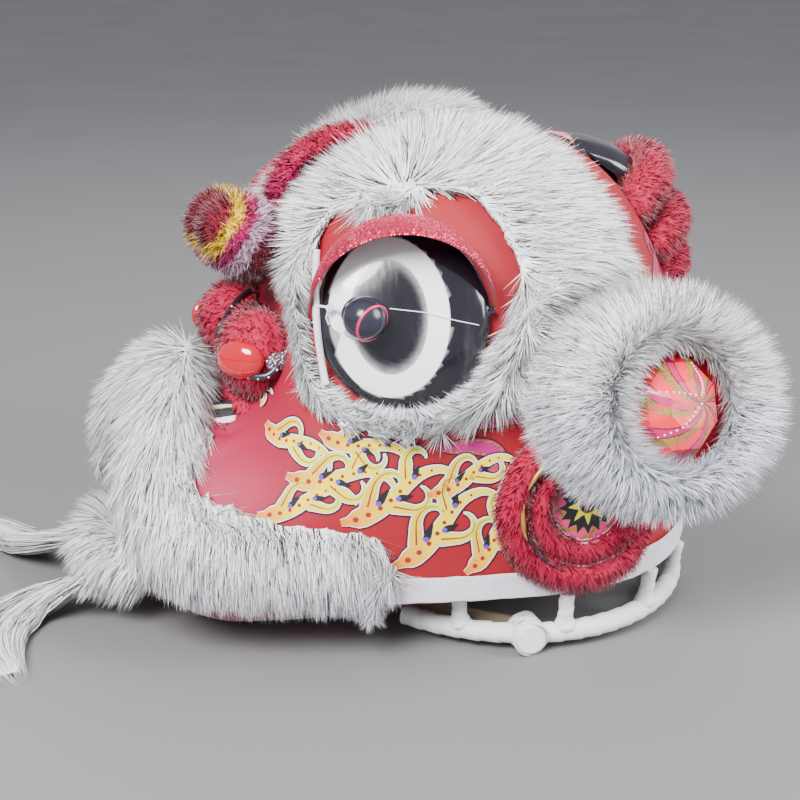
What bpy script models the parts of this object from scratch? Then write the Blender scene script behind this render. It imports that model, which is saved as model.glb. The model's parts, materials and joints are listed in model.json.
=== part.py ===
"""Southern lion dance head of the round-browed style, as its maker builds it.

Metres, +Z up, the face towards -Y, the lion's left side towards +X. The head lies on a
surface as it is stored: on two lashing knots of its lower ring and on its closed jaw.
Shapes are worked out in the head's own frame, and one empty carries the whole head so
that the middle of its plan lies over the origin.
"""

import math
from collections import namedtuple

import bmesh
import bpy
import numpy as np
from mathutils import Matrix, Vector
from mathutils.bvhtree import BVHTree

# Fits
SEAT_GAP = 0.0003
DOME_CLEAR = 0.0005
DOME_FRONT_ROOM = 0.10
DOME_FOOT_ROOM = 0.002
JAW_EDGE_ROOM = 0.003
CREST_SEAT = 0.0007
FLOOR_GAP = 0.0006

# Shell
LIP_Y = -0.310
WIDEST_Y = 0.110
BACK_DEPTH = 0.205
SHELL_HALF_WIDTH = 0.245
CROWN_Z = 0.500
RIM_Z = 0.064
SHELL_WALL = 0.003
SHELL_ARCH_STEPS = 20
BACK_STEPS = 6
BACK_FULLNESS = 2.4

# Rim ribbon, lower ring, posts and lashings
RIBBON_HEIGHT = 0.027
RIBBON_THICK = 0.002
RING_RADIUS = 0.011
RING_Z = 0.0185
RING_HALF_WIDTH = 0.238
RING_HALF_DEPTH = 0.195
RING_ARM_ROOM = 0.0087
RING_STEPS = 26
POST_RADIUS = 0.0085
POST_PLACES_DEG = (-31.0, 0.0, 31.0, 52.0)
KNOT_PLACE_DEG = -11.5
KNOT_LENGTH = 0.036

# Lower jaw and its arms
JAW_BACK_Y = -0.045
JAW_FRONT_Y = -0.315
JAW_HALF_WIDTH = 0.150
JAW_DEPTH = 0.062
JAW_FRONT_LIFT = 0.040
JAW_WALL = 0.003
ARM_HEIGHT = 0.018
ARM_THICK = 0.008
ARM_SET_IN = 0.001
ARM_BEND_IN = 0.010

# Beard
TUFT_SIZE = (0.088, 0.034, 0.034)
BEARD_THICK = 0.016

# Upper lip fur
LIP_FUR_HEIGHT = 0.056
LIP_FUR_DEPTH = 0.042
LIP_LOCK = 0.016

# Nose
NOSTRIL_RADIUS = 0.047
NOSE_ROLL_HALF_WIDTH = 0.088
NOSE_ROLL_RADIUS = 0.029
BOWL_RADIUS = 0.027
BOWL_DEPTH = 0.010

# Springs and pompoms
SPRING_RADIUS = 0.0055
SPRING_WIRE = 0.0010
SPRING_TURNS = 8
FOOT_RIM = 0.002
SPRING_ROOM = 0.0015
SPRING_REACH = 0.0002
POMPOM_RADIUS = 0.038
POMPOM_STRETCH = 1.12

# Horn
HORN_RADIUS = 0.025
HORN_FUR_RADIUS = 0.016

# Eye
EYE_HALF_LENGTH = 0.086
EYE_HALF_HEIGHT = 0.092
EYE_BULGE = 0.020
LID_HALF_LENGTH = 0.0895
LID_RADIUS = 0.096
LID_WALL = 0.0025
LID_LOW_DEG = 50.0
LID_HIGH_DEG = 88.0
PIVOT_RADIUS = 0.0042
BALL_RADIUS = 0.021
BALL_FORWARD = 0.036
BROW_LOCK = 0.020
BROW_PARTING = 0.018
BROW_RAISE = 0.30

# Cheek
DISC_THICK = 0.006
CHEEK_TALL_SHARE = 0.93
INNER_ROLL_RADIUS = 0.0535
INNER_ROLL_HALF = 0.0125
OUTER_ROLL_RADIUS = 0.0800
OUTER_ROLL_HALF = 0.0150

# Ear
EAR_STAND_OFF = 0.042
EAR_PLATE_THICK = 0.004
EAR_PLATE_SHARE = 0.80
EAR_HALF_LENGTH = 0.124
EAR_HALF_HEIGHT = 0.100
EAR_FUR_HALF_HEIGHT = 0.027
EAR_LOCK = 0.018
EAR_SWING_DEG = 18.0
EAR_CLEAR = 0.004
EAR_FUR_FLOOR = 0.3
CUP_BACK = 0.024
CUP_DOWN = 0.008
CUP_RADIUS = 0.057
CUP_WIDTH_SHARE = 0.90
CUP_HEIGHT = 0.046
CUP_FUR_GAP = 0.0005
HINGE_RISE = 0.095
HINGE_STAND_OFF = 0.012
KNUCKLE_RADIUS = 0.005
KNUCKLE_LENGTH = 0.040
LUG_LENGTH = 0.016
LUG_HEIGHT = 0.018
FORK_RADIUS = 0.0035
FORK_SET_BACK = 0.0015

# Crest
CREST_HALF_WIDTH = 0.046
CREST_ROLL_RADIUS = 0.019

# Place of the head over the origin
HEAD_SHIFT_Y = 0.0812

ShellSection = namedtuple("ShellSection", "foot crown width top foot_rise fullness")
SHELL_SECTIONS = (
    ShellSection(0.00, 0.15, 0.58, 0.43, 0.100, 2.2),
    ShellSection(0.13, 0.23, 0.67, 0.35, 0.090, 2.3),
    ShellSection(0.29, 0.34, 0.77, 0.41, 0.070, 2.4),
    ShellSection(0.42, 0.40, 0.84, 0.62, 0.035, 2.5),
    ShellSection(0.53, 0.46, 0.90, 0.83, 0.000, 2.6),
    ShellSection(0.66, 0.58, 0.945, 0.95, 0.000, 2.7),
    ShellSection(0.83, 0.80, 0.985, 1.00, 0.000, 2.7),
    ShellSection(1.00, 1.00, 1.00, 1.00, 0.000, 2.6),
)

LipPoint = namedtuple("LipPoint", "side forward rise height depth")
LIP_PATH = (
    LipPoint(0.850, 0.600, 0.090, 0.85, 0.90),
    LipPoint(0.825, 0.470, 0.098, 1.00, 1.00),
    LipPoint(0.770, 0.330, 0.104, 1.00, 1.00),
    LipPoint(0.710, 0.200, 0.110, 1.00, 0.95),
    LipPoint(0.630, 0.105, 0.135, 1.00, 0.85),
    LipPoint(0.510, 0.062, 0.205, 0.95, 0.85),
    LipPoint(0.380, 0.072, 0.310, 1.00, 0.95),
    LipPoint(0.200, 0.120, 0.415, 0.98, 0.98),
    LipPoint(0.000, 0.150, 0.450, 0.95, 0.96),
)

BrowRow = namedtuple("BrowRow", "angle distance half_width height sink lean")
BROW_ROWS = (
    BrowRow(0, 0.160, 0.067, 0.046, 0.030, 0.10),
    BrowRow(45, 0.164, 0.073, 0.048, 0.080, 0.60),
    BrowRow(90, 0.138, 0.066, 0.036, 0.080, 1.50),
    BrowRow(125, 0.122, 0.041, 0.034, 0.092, 1.00),
    BrowRow(150, 0.112, 0.024, 0.034, 0.080, 0.40),
    BrowRow(170, 0.104, 0.012, 0.032, 0.055, 0.10),
    BrowRow(190, 0.103, 0.011, 0.028, 0.045, 0.00),
    BrowRow(214, 0.110, 0.018, 0.024, 0.030, 0.00),
    BrowRow(240, 0.107, 0.014, 0.018, 0.020, 0.00),
    BrowRow(270, 0.105, 0.011, 0.016, 0.015, 0.00),
    BrowRow(305, 0.107, 0.015, 0.020, 0.015, 0.00),
    BrowRow(335, 0.126, 0.033, 0.036, 0.020, 0.00),
)
BROW_LEAN = Vector((-0.30, -0.25, 0.90))

BeardPoint = namedtuple("BeardPoint", "x y z half_width")
BEARD_LEFT = (
    BeardPoint(0.035, -0.335, 0.060, 0.020),
    BeardPoint(0.035, -0.362, 0.040, 0.024),
    BeardPoint(0.020, -0.392, 0.020, 0.030),
    BeardPoint(0.025, -0.425, 0.009, 0.033),
    BeardPoint(0.065, -0.450, 0.009, 0.032),
    BeardPoint(0.115, -0.455, 0.009, 0.028),
    BeardPoint(0.160, -0.445, 0.009, 0.020),
)
BEARD_RIGHT = (
    BeardPoint(-0.035, -0.335, 0.064, 0.018),
    BeardPoint(-0.065, -0.358, 0.050, 0.022),
    BeardPoint(-0.110, -0.385, 0.030, 0.026),
    BeardPoint(-0.160, -0.408, 0.012, 0.028),
    BeardPoint(-0.205, -0.428, 0.009, 0.024),
    BeardPoint(-0.245, -0.445, 0.009, 0.016),
)

CrestRow = namedtuple("CrestRow", "back rise half_width half_height")
CREST_SPINE = (
    CrestRow(0.1463, 0.952, 0.75, 0.3478),
    CrestRow(0.4146, 0.932, 0.90, 0.4783),
    CrestRow(0.6146, 0.892, 1.00, 0.5870),
    CrestRow(0.7317, 0.834, 0.95, 0.6522),
    CrestRow(0.7902, 0.768, 0.80, 0.6522),
    CrestRow(0.8146, 0.700, 0.60, 0.5217),
    CrestRow(0.8098, 0.644, 0.35, 0.3913),
    CrestRow(0.8195, 0.596, 0.25, 0.2609),
)
CrestRoll = namedtuple("CrestRoll", "apex_back apex_rise end_side end_back end_rise radius")
CREST_ROLLS = (
    CrestRoll(0.8195, 0.904, 1.6304, 0.5122, 0.800, 1.05),
    CrestRoll(0.9463, 0.800, 1.4783, 0.6585, 0.724, 0.95),
    CrestRoll(0.9561, 0.704, 1.1957, 0.7902, 0.650, 0.90),
)

# Directions of the side features, outward from the head, and their places on its side
EYE_NORMAL = Vector((0.93, -0.24, 0.28)).normalized()
EYE_AIM = Vector((0.185, -0.047, 0.348))
CHEEK_NORMAL = Vector((0.985, 0.13, 0.11)).normalized()
CHEEK_AIM = Vector((0.245, 0.128, 0.1575))
EAR_NORMAL = Vector((0.93, 0.14, 0.34)).normalized()
EAR_AIM = Vector((0.220, 0.170, 0.252))

FINISHES = {
    "painted_skin": ((0.80, 0.03, 0.05), 0.30, 0.0),
    "black_gloss": ((0.01, 0.01, 0.012), 0.15, 0.0),
    "white_fur": ((0.88, 0.88, 0.86), 0.90, 0.0),
    "crimson_fur": ((0.70, 0.01, 0.10), 0.90, 0.0),
    "pompom_fur": ((0.85, 0.05, 0.30), 0.90, 0.0),
    "white_tape": ((0.85, 0.85, 0.86), 0.70, 0.0),
    "white_ribbon": ((0.86, 0.86, 0.90), 0.50, 0.0),
    "crimson_sequin": ((0.45, 0.01, 0.05), 0.40, 0.0),
    "beard_hair": ((0.90, 0.90, 0.90), 0.50, 0.0),
    "red_gloss": ((0.80, 0.01, 0.05), 0.12, 0.0),
    "spring_steel": ((0.75, 0.75, 0.77), 0.25, 1.0),
    "bare_wood": ((0.55, 0.47, 0.38), 0.65, 0.0),
    "cup_paint": ((0.75, 0.03, 0.08), 0.25, 0.0),
}


def clear_scene():
    """Removes the startup objects."""
    for obj in list(bpy.data.objects):
        bpy.data.objects.remove(obj, do_unlink=True)


def new_collection(name, hidden=False):
    """A collection in the scene; a hidden one holds cutters."""
    collection = bpy.data.collections.new(name)
    bpy.context.scene.collection.children.link(collection)
    collection.hide_render = hidden
    return collection


def finish(name):
    """The material of one finish, made on first use."""
    found = bpy.data.materials.get(name)
    if found:
        return found
    colour, roughness, metallic = FINISHES[name]
    material = bpy.data.materials.new(name)
    material.use_nodes = True
    shader = material.node_tree.nodes["Principled BSDF"]
    shader.inputs["Base Color"].default_value = (*colour, 1.0)
    shader.inputs["Roughness"].default_value = roughness
    shader.inputs["Metallic"].default_value = metallic
    material.diffuse_color = (*colour, 1.0)
    return material


def add_mesh(name, bm, material, collection):
    """Turns a bmesh into an object of this collection, with its faces pointing out."""
    bmesh.ops.remove_doubles(bm, verts=bm.verts, dist=1e-6)
    bmesh.ops.recalc_face_normals(bm, faces=bm.faces)
    mesh = bpy.data.meshes.new(name)
    bm.to_mesh(mesh)
    bm.free()
    obj = bpy.data.objects.new(name, mesh)
    collection.objects.link(obj)
    obj.data.materials.append(finish(material))
    if collection is CUTTERS:
        obj.hide_render = True
        obj.display_type = "WIRE"
    return obj


def cut(obj, cutter):
    """Takes the cutter's volume out of the object."""
    modifier = obj.modifiers.new("cut_" + cutter.name, "BOOLEAN")
    modifier.operation = "DIFFERENCE"
    modifier.object = cutter
    return obj


def baked(obj):
    """Replaces an object's mesh by its evaluated one, without its modifiers."""
    bpy.context.view_layer.update()
    graph = bpy.context.evaluated_depsgraph_get()
    mesh = bpy.data.meshes.new_from_object(obj.evaluated_get(graph))
    obj.modifiers.clear()
    obj.data = mesh
    return obj


def fused(name, shapes, material, collection):
    """One body from overlapping closed shapes."""
    first = shapes[0]
    for other in shapes[1:]:
        modifier = first.modifiers.new("fuse", "BOOLEAN")
        modifier.operation = "UNION"
        modifier.object = other
    baked(first)
    for other in shapes[1:]:
        bpy.data.objects.remove(other, do_unlink=True)
    first.name = name
    first.data.name = name
    for holder in list(first.users_collection):
        holder.objects.unlink(first)
    collection.objects.link(first)
    first.hide_render = collection is CUTTERS
    first.display_type = "WIRE" if collection is CUTTERS else "TEXTURED"
    first.data.materials.clear()
    first.data.materials.append(finish(material))
    return first


def mirrored(obj, name):
    """The same piece on the other side of the head."""
    mesh = obj.data.copy()
    mesh.name = name
    mesh.transform(Matrix.Scale(-1.0, 4, Vector((1.0, 0.0, 0.0))))
    mesh.flip_normals()
    other = bpy.data.objects.new(name, mesh)
    for holder in obj.users_collection:
        holder.objects.link(other)
    other.hide_render = obj.hide_render
    other.display_type = obj.display_type
    return other


def both_sides(obj, stem):
    """Bakes the left piece and adds the right one. Gives the pair."""
    baked(obj)
    obj.name = stem + "_left"
    return obj, mirrored(obj, stem + "_right")


def smooth_path(points, steps):
    """Points at equal steps of a smooth curve through the given rows of numbers."""
    rows = np.array(points, float)
    count = len(rows)
    padded = np.vstack([2 * rows[0] - rows[1], rows, 2 * rows[-1] - rows[-2]])
    found = []
    for place in np.linspace(0, count - 1, steps):
        index = min(int(place), count - 2)
        t = place - index
        a, b, c, d = padded[index : index + 4]
        found.append(
            0.5 * (2 * b + (c - a) * t + (2 * a - 5 * b + 4 * c - d) * t**2
                   + (3 * b - a - 3 * c + d) * t**3)
        )
    return np.array(found)


def shell_stations():
    """Foot y, crown y, half width, top z, foot z and fullness of every arch, front to back."""
    run = WIDEST_Y - LIP_Y
    height = CROWN_Z - RIM_Z
    rows = []
    for row in SHELL_SECTIONS:
        rows.append((
            LIP_Y + run * row.foot,
            LIP_Y + run * row.crown,
            SHELL_HALF_WIDTH * row.width,
            RIM_Z + height * row.top,
            RIM_Z + height * row.foot_rise,
            row.fullness,
        ))
    for step in range(1, BACK_STEPS + 1):
        angle = 0.5 * math.pi * step / BACK_STEPS
        back = math.sin(angle) ** (2 / BACK_FULLNESS)
        up = math.cos(angle) ** (2 / BACK_FULLNESS)
        y = WIDEST_Y + BACK_DEPTH * back
        width = SHELL_HALF_WIDTH * math.sqrt(max(0.0, 1 - back**2))
        rows.append((y, y, width, RIM_Z + height * up, RIM_Z, SHELL_SECTIONS[-1].fullness))
    return rows


def shell_grid(offset=0.0):
    """Points of the shell's outer face, a row for each arch, moved outwards by the offset."""
    stations = shell_stations()
    grid = np.zeros((len(stations), SHELL_ARCH_STEPS + 1, 3))
    for i, (foot_y, crown_y, width, top, foot_z, fullness) in enumerate(stations):
        for j in range(SHELL_ARCH_STEPS + 1):
            angle = math.pi * j / SHELL_ARCH_STEPS
            side, up = math.cos(angle), math.sin(angle)
            x = width * math.copysign(abs(side) ** (2 / fullness), side)
            rise = max(0.0, up) ** (2 / fullness)
            grid[i, j] = (x, foot_y + (crown_y - foot_y) * rise, foot_z + (top - foot_z) * rise)
    if offset:
        along = np.gradient(grid, axis=0)
        across = np.gradient(grid, axis=1)
        normal = np.cross(along, across)
        normal[-1] = (0.0, 1.0, 0.0)
        normal /= np.linalg.norm(normal, axis=2, keepdims=True)
        grid = grid + offset * normal
    return grid


def grid_faces(bm, rows, split=False):
    """Faces between the neighbouring rows, or triangles alike on both sides of the middle."""
    half = (len(rows[0]) - 1) / 2
    for low, high in zip(rows, rows[1:]):
        for k, (a, b, c, d) in enumerate(zip(low, low[1:], high[1:], high)):
            if not split:
                bm.faces.new((a, b, c, d))
            elif k < half:
                bm.faces.new((a, b, c))
                bm.faces.new((a, c, d))
            else:
                bm.faces.new((a, b, d))
                bm.faces.new((b, c, d))


def vertex_rows(bm, grid):
    return [[bm.verts.new(point) for point in row] for row in grid]


def open_wall(name, grid, wall, material, collection, outward=False, split=False):
    """A wall of even thickness on a grid of points: inside it, or outside it."""
    bm = bmesh.new()
    grid_faces(bm, vertex_rows(bm, grid), split)
    bmesh.ops.remove_doubles(bm, verts=bm.verts, dist=1e-5)
    bmesh.ops.recalc_face_normals(bm, faces=bm.faces)
    mesh = bpy.data.meshes.new(name)
    bm.to_mesh(mesh)
    bm.free()
    obj = bpy.data.objects.new(name, mesh)
    collection.objects.link(obj)
    obj.data.materials.append(finish(material))
    centre = np.mean(grid.reshape(-1, 3), axis=0)
    outside = sum((np.array(p.center) - centre) @ np.array(p.normal) for p in mesh.polygons)
    solidify = obj.modifiers.new("wall", "SOLIDIFY")
    solidify.thickness = wall
    solidify.offset = 1.0 if outward == (outside > 0) else -1.0
    solidify.use_even_offset = True
    return obj


def make_shell():
    """The bamboo and paper shell with its painted cloth skin, one wall."""
    return open_wall("head_shell", shell_grid(), SHELL_WALL, "painted_skin", HEAD, split=True)


def make_dome_cutter(name, offset):
    """The whole volume under the shell, for cutting what sits on it."""
    grid = shell_grid(offset)
    grid[0] += (grid[0] - grid[1]) * DOME_FRONT_ROOM
    grid[:, 0, 2] -= DOME_FOOT_ROOM
    grid[:, -1, 2] -= DOME_FOOT_ROOM
    bm = bmesh.new()
    rows = vertex_rows(bm, grid)
    grid_faces(bm, rows, split=True)
    for low, high in zip(rows, rows[1:]):
        bm.faces.new((low[0], high[0], high[-1], low[-1]))
    mouth = bm.faces.new(rows[0])
    bmesh.ops.poke(bm, faces=[mouth])
    bmesh.ops.dissolve_degenerate(bm, dist=1e-6, edges=bm.edges)
    return add_mesh(name, bm, "painted_skin", CUTTERS)


def shell_tree():
    """A search tree of the shell's outer face."""
    grid = shell_grid()
    height, width = grid.shape[:2]
    faces = [
        (i * width + j, i * width + j + 1, (i + 1) * width + j + 1, (i + 1) * width + j)
        for i in range(height - 1)
        for j in range(width - 1)
    ]
    return BVHTree.FromPolygons([Vector(p) for p in grid.reshape(-1, 3)], faces)


def on_shell(tree, point, outward):
    """Where a line through the point meets the shell from outside, with its normal there."""
    start = point + 0.4 * outward
    place, normal, _, _ = tree.ray_cast(start, -outward)
    if place is None:
        place, normal, _, _ = tree.find_nearest(point)
    if normal.dot(outward) < 0:
        normal = -normal
    return place, normal


def local_axes(normal):
    """The backward and upward directions that lie in a side feature's plane."""
    back = Vector((0.0, 1.0, 0.0)) - normal * normal.y
    back.normalize()
    up = normal.cross(back)
    if up.z < 0:
        up = -up
    return back, up


def tube_rows(centres, across, outward, half_widths, heights, sides):
    """Rings of points round a path, each an ellipse in its own frame."""
    rings = []
    for centre, a, o, w, h in zip(centres, across, outward, half_widths, heights):
        ring = []
        for k in range(sides):
            angle = 2 * math.pi * (k + 0.5) / sides
            ring.append(centre + a * (w * math.cos(angle)) + o * (h * math.sin(angle)))
        rings.append(ring)
    return rings


def lock_tube(name, rings, closed, lock, comb, material, collection=None, bare=None):
    """A roll of fur: a tube of faces, each drawn out into a lock combed one way.

    comb gives the hair's direction at a point. bare is a test of a face's centre and
    normal: such a face stays flat, as on the side that is sewn down.
    """
    bm = bmesh.new()
    rows = [[bm.verts.new(p) for p in ring] for ring in rings]
    loops = rows + [rows[0]] if closed else rows
    sides = len(rows[0])
    for low, high in zip(loops, loops[1:]):
        for k in range(sides):
            n = (k + 1) % sides
            bm.faces.new((low[k], low[n], high[n], high[k]))
    if not closed:
        bm.faces.new(rows[0])
        bm.faces.new(rows[-1])
    bmesh.ops.recalc_face_normals(bm, faces=bm.faces)
    drawn = [f for f in bm.faces if not (bare and bare(f.calc_center_median(), f.normal))]
    normals = {}
    for face in drawn:
        normals[tuple(round(c, 6) for c in face.calc_center_median())] = face.normal.copy()
    poked = bmesh.ops.poke(bm, faces=drawn)
    for vert in poked["verts"]:
        normal = normals.get(tuple(round(c, 6) for c in vert.co), Vector((0.0, 0.0, 0.0)))
        vert.co += lock * (0.55 * normal + 0.65 * comb(vert.co))
    return add_mesh(name, bm, material, collection or HEAD)


def ellipsoid(name, centre, radii, material, collection, axes=None, segments=14, rings=8):
    """A squashed ball whose radii lie along the given axes."""
    bm = bmesh.new()
    bmesh.ops.create_uvsphere(bm, u_segments=segments, v_segments=rings, radius=1.0)
    turn = Matrix.Identity(3) if axes is None else Matrix(axes).transposed()
    scale = Matrix.Diagonal(Vector(radii))
    for vert in bm.verts:
        vert.co = turn @ (scale @ vert.co) + Vector(centre)
    return add_mesh(name, bm, material, collection)


def rod(name, start, end, radius, material, collection, sides=8, end_radius=None):
    """A round rod between two points."""
    start, end = Vector(start), Vector(end)
    along = end - start
    bm = bmesh.new()
    bmesh.ops.create_cone(
        bm, cap_ends=True, segments=sides, radius1=radius,
        radius2=radius if end_radius is None else end_radius, depth=along.length,
    )
    turn = along.to_track_quat("Z", "X").to_matrix().to_4x4()
    bmesh.ops.transform(bm, matrix=Matrix.Translation((start + end) / 2) @ turn, verts=bm.verts)
    return add_mesh(name, bm, material, collection)


def curve_tube(name, points, radius, material, collection, resolution=1):
    """A round tube along the points, made a mesh with welded caps."""
    data = bpy.data.curves.new(name, "CURVE")
    data.dimensions = "3D"
    data.bevel_depth = radius
    data.bevel_resolution = resolution
    data.use_fill_caps = True
    spline = data.splines.new("POLY")
    spline.points.add(len(points) - 1)
    for point, place in zip(spline.points, points):
        point.co = (*place, 1.0)
    guide = bpy.data.objects.new(name + "_guide", data)
    collection.objects.link(guide)
    bpy.context.view_layer.update()
    graph = bpy.context.evaluated_depsgraph_get()
    bm = bmesh.new()
    bm.from_mesh(bpy.data.meshes.new_from_object(guide.evaluated_get(graph)))
    bpy.data.objects.remove(guide, do_unlink=True)
    return add_mesh(name, bm, material, collection)


def foot_outline():
    """Plan points of the shell's foot from one mouth corner round the back to the other."""
    rows = [(w, y) for y, _, w, _, foot_z, _ in shell_stations() if foot_z <= RIM_Z + 1e-9]
    return np.array(rows + [(-w, y) for w, y in reversed(rows[:-1])])


def outline_normals(outline):
    """Outward plan directions at the points of the foot's outline."""
    along = np.gradient(outline, axis=0)
    normal = np.stack([along[:, 1], -along[:, 0]], axis=1)
    normal /= np.linalg.norm(normal, axis=1, keepdims=True)
    middle = np.array([0.0, WIDEST_Y])
    flip = np.sum(normal * (outline - middle), axis=1) < 0
    normal[flip] *= -1
    return normal


def ribbon_grid(offset, low, high):
    outline = foot_outline()
    places = outline + offset * outline_normals(outline)
    return np.array([[(x, y, z) for x, y in places] for z in (low, high)])


def make_rim_ribbon():
    """The ribbon that binds the skin's lower edge, and the cutter of what lies on it."""
    grid = ribbon_grid(SEAT_GAP, RIM_Z, RIM_Z + RIBBON_HEIGHT)
    ribbon = open_wall("rim_ribbon", grid, RIBBON_THICK, "white_ribbon", HEAD, outward=True)
    wide = ribbon_grid(SEAT_GAP - 0.004, RIM_Z - SEAT_GAP, RIM_Z + RIBBON_HEIGHT + SEAT_GAP)
    cutter = open_wall(
        "ribbon_cutter", wide, RIBBON_THICK + 0.004 + SEAT_GAP, "white_ribbon", CUTTERS, outward=True
    )
    cutter.hide_render = True
    cutter.display_type = "WIRE"
    baked(cutter)
    return ribbon, cutter


def ring_point(angle_deg, z=RING_Z):
    angle = math.radians(angle_deg)
    return Vector((
        RING_HALF_WIDTH * math.cos(angle),
        WIDEST_Y + RING_HALF_DEPTH * math.sin(angle),
        z,
    ))


def make_post(angle_deg, side, index):
    """A wrapped cane from the ring up to the shell's edge, with level ends."""
    low = ring_point(angle_deg)
    angle = math.radians(angle_deg)
    high = Vector((
        (SHELL_HALF_WIDTH - SHELL_WALL / 2) * math.cos(angle),
        WIDEST_Y + (BACK_DEPTH - SHELL_WALL / 2) * math.sin(angle),
        RIM_Z - SEAT_GAP,
    ))
    bm = bmesh.new()
    bmesh.ops.create_cone(
        bm, cap_ends=True, segments=8, radius1=POST_RADIUS, radius2=POST_RADIUS * 0.9,
        depth=high.z - low.z,
    )
    lean = (high - low) / (high.z - low.z)
    for vert in bm.verts:
        rise = vert.co.z + (high.z - low.z) / 2
        vert.co = Vector((vert.co.x, vert.co.y, 0.0)) + low + lean * rise
        vert.co.x *= side
    return add_mesh(f"post_{index}", bm, "white_tape", CUTTERS)


def arm_wall_x():
    """How far out the middle of a jaw arm lies where it meets the jaw's inner wall."""
    return JAW_HALF_WIDTH - JAW_WALL - ARM_THICK / 2 + ARM_SET_IN


def ring_path():
    """Points of the lower ring from its left front end round the back to its right one."""
    arm = arm_wall_x() - ARM_BEND_IN + ARM_THICK / 2
    first = -math.degrees(math.acos((arm + RING_ARM_ROOM + RING_RADIUS) / RING_HALF_WIDTH))
    angles = np.linspace(first, 180 - first, RING_STEPS)
    return [tuple(ring_point(a)) for a in angles]


def make_lower_ring():
    """The tape-wrapped lower ring, open at the jaw, with its posts."""
    shapes = [curve_tube("ring_tube", ring_path(), RING_RADIUS, "white_tape", CUTTERS)]
    for index, angle in enumerate(POST_PLACES_DEG):
        for side in (1, -1):
            shapes.append(make_post(angle, side, index))
    return fused("lower_ring", shapes, "white_tape", HEAD)


def make_knots():
    """The tape lashings that the head stands on, wound round the ring at the jaw's pivots."""
    centre = ring_point(KNOT_PLACE_DEG)
    bm = bmesh.new()
    bmesh.ops.create_cone(
        bm, cap_ends=True, segments=16, radius1=1.0, radius2=1.0, depth=KNOT_LENGTH
    )
    flat = centre.z / math.cos(math.pi / 16)
    turn = Matrix.Rotation(math.pi / 2, 3, "Y") @ Matrix.Rotation(math.pi / 16, 3, "Z")
    for vert in bm.verts:
        vert.co = Vector((vert.co.x * flat, vert.co.y * flat, vert.co.z))
    bmesh.ops.bevel(
        bm, geom=[e for e in bm.edges if e.is_boundary or e.calc_face_angle(0) > 1.2],
        offset=0.004, segments=1, affect="EDGES",
    )
    for vert in bm.verts:
        vert.co = turn @ vert.co + centre
    knot = add_mesh("lashing_knot", bm, "white_tape", HEAD)
    sleeve = curve_tube(
        "ring_cutter", ring_path(), RING_RADIUS + 2 * SEAT_GAP, "white_tape", CUTTERS
    )
    return both_sides(cut(knot, sleeve), "lashing_knot")


def jaw_outline(reach, offset=0.0):
    """Plan point of the jaw's edge at a share of the way round, from left back to right back."""
    straight = JAW_HALF_WIDTH * 0.30
    bow_depth = (JAW_BACK_Y - straight) - JAW_FRONT_Y
    length = straight + 0.5 * math.pi * 0.5 * (JAW_HALF_WIDTH + bow_depth)
    part = abs(reach) * length
    side = 1.0 if reach >= 0 else -1.0
    if part > length - straight:
        y = JAW_BACK_Y - (length - part)
        return Vector((side * (JAW_HALF_WIDTH + offset), y, 0.0))
    angle = 0.5 * math.pi * part / (length - straight)
    return Vector((
        side * (JAW_HALF_WIDTH + offset) * math.sin(angle) ** 0.85,
        JAW_BACK_Y - straight - (bow_depth + offset) * math.cos(angle) ** 0.9,
        0.0,
    ))


JAW_SPINE_FRONT = -0.215
JAW_PROFILE = ((0.0, 0.0), (0.45, 0.0), (0.75, 0.05), (0.92, 0.30), (1.0, 1.0))
JAW_STEPS = 18


def jaw_grid(offset=0.0):
    """The jaw tray's outer face, from its middle line out and up to its edge."""
    rows = []
    for i in range(JAW_STEPS + 1):
        reach = 1 - 2 * i / JAW_STEPS
        edge = jaw_outline(reach, offset)
        middle = Vector((0.0, max(min(edge.y, JAW_BACK_Y), JAW_SPINE_FRONT), 0.0))
        row = []
        for out, rise in JAW_PROFILE:
            place = middle.lerp(edge, out)
            ahead = max(0.0, (JAW_SPINE_FRONT - place.y) / (JAW_SPINE_FRONT - JAW_FRONT_Y))
            z = JAW_FRONT_LIFT * ahead**1.5 + rise * (JAW_DEPTH - JAW_FRONT_LIFT * 0.5 * ahead)
            z += (JAW_EDGE_ROOM if out == 1.0 else -offset) if offset else 0.0
            row.append((place.x, place.y, z))
        rows.append(row)
    return np.array(rows)


def make_jaw_cutter():
    """The jaw tray filled up to its edge, a little larger than it."""
    bm = bmesh.new()
    rows = vertex_rows(bm, jaw_grid(3 * SEAT_GAP))
    grid_faces(bm, rows, split=True)
    bm.faces.new([row[-1] for row in rows])
    bm.faces.new([v for v in rows[0]] + [v for v in reversed(rows[-1][1:])])
    return add_mesh("jaw_cutter", bm, "crimson_sequin", CUTTERS)


def arm_bar(name, extra, collection):
    """The flat bar from the jaw's inner wall back to its pivot at the lashing."""
    pivot = ring_point(KNOT_PLACE_DEG)
    inner = pivot.x - KNOT_LENGTH / 2 - SEAT_GAP - ARM_THICK / 2
    wall = arm_wall_x()
    path = (
        (inner, pivot.y + 0.010, RING_Z),
        (inner, pivot.y - 0.006, RING_Z),
        (wall - ARM_BEND_IN, JAW_BACK_Y + 0.008, RING_Z + 0.008),
        (wall, JAW_BACK_Y - 0.020, RING_Z + 0.014),
        (wall, JAW_BACK_Y - 0.040, RING_Z + 0.014),
    )
    bm = bmesh.new()
    rows = []
    for x, y, z in path:
        half, tall = ARM_THICK / 2 + extra, ARM_HEIGHT / 2 + extra
        row = [(x + sx * half, y, z + sz * tall) for sx, sz in ((-1, -1), (1, -1), (1, 1), (-1, 1))]
        rows.append([bm.verts.new(p) for p in row])
    for low, high in zip(rows, rows[1:]):
        for k in range(4):
            bm.faces.new((low[k], low[(k + 1) % 4], high[(k + 1) % 4], high[k]))
    bm.faces.new(rows[0])
    bm.faces.new(rows[-1])
    return add_mesh(name, bm, "bare_wood", collection)


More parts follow.
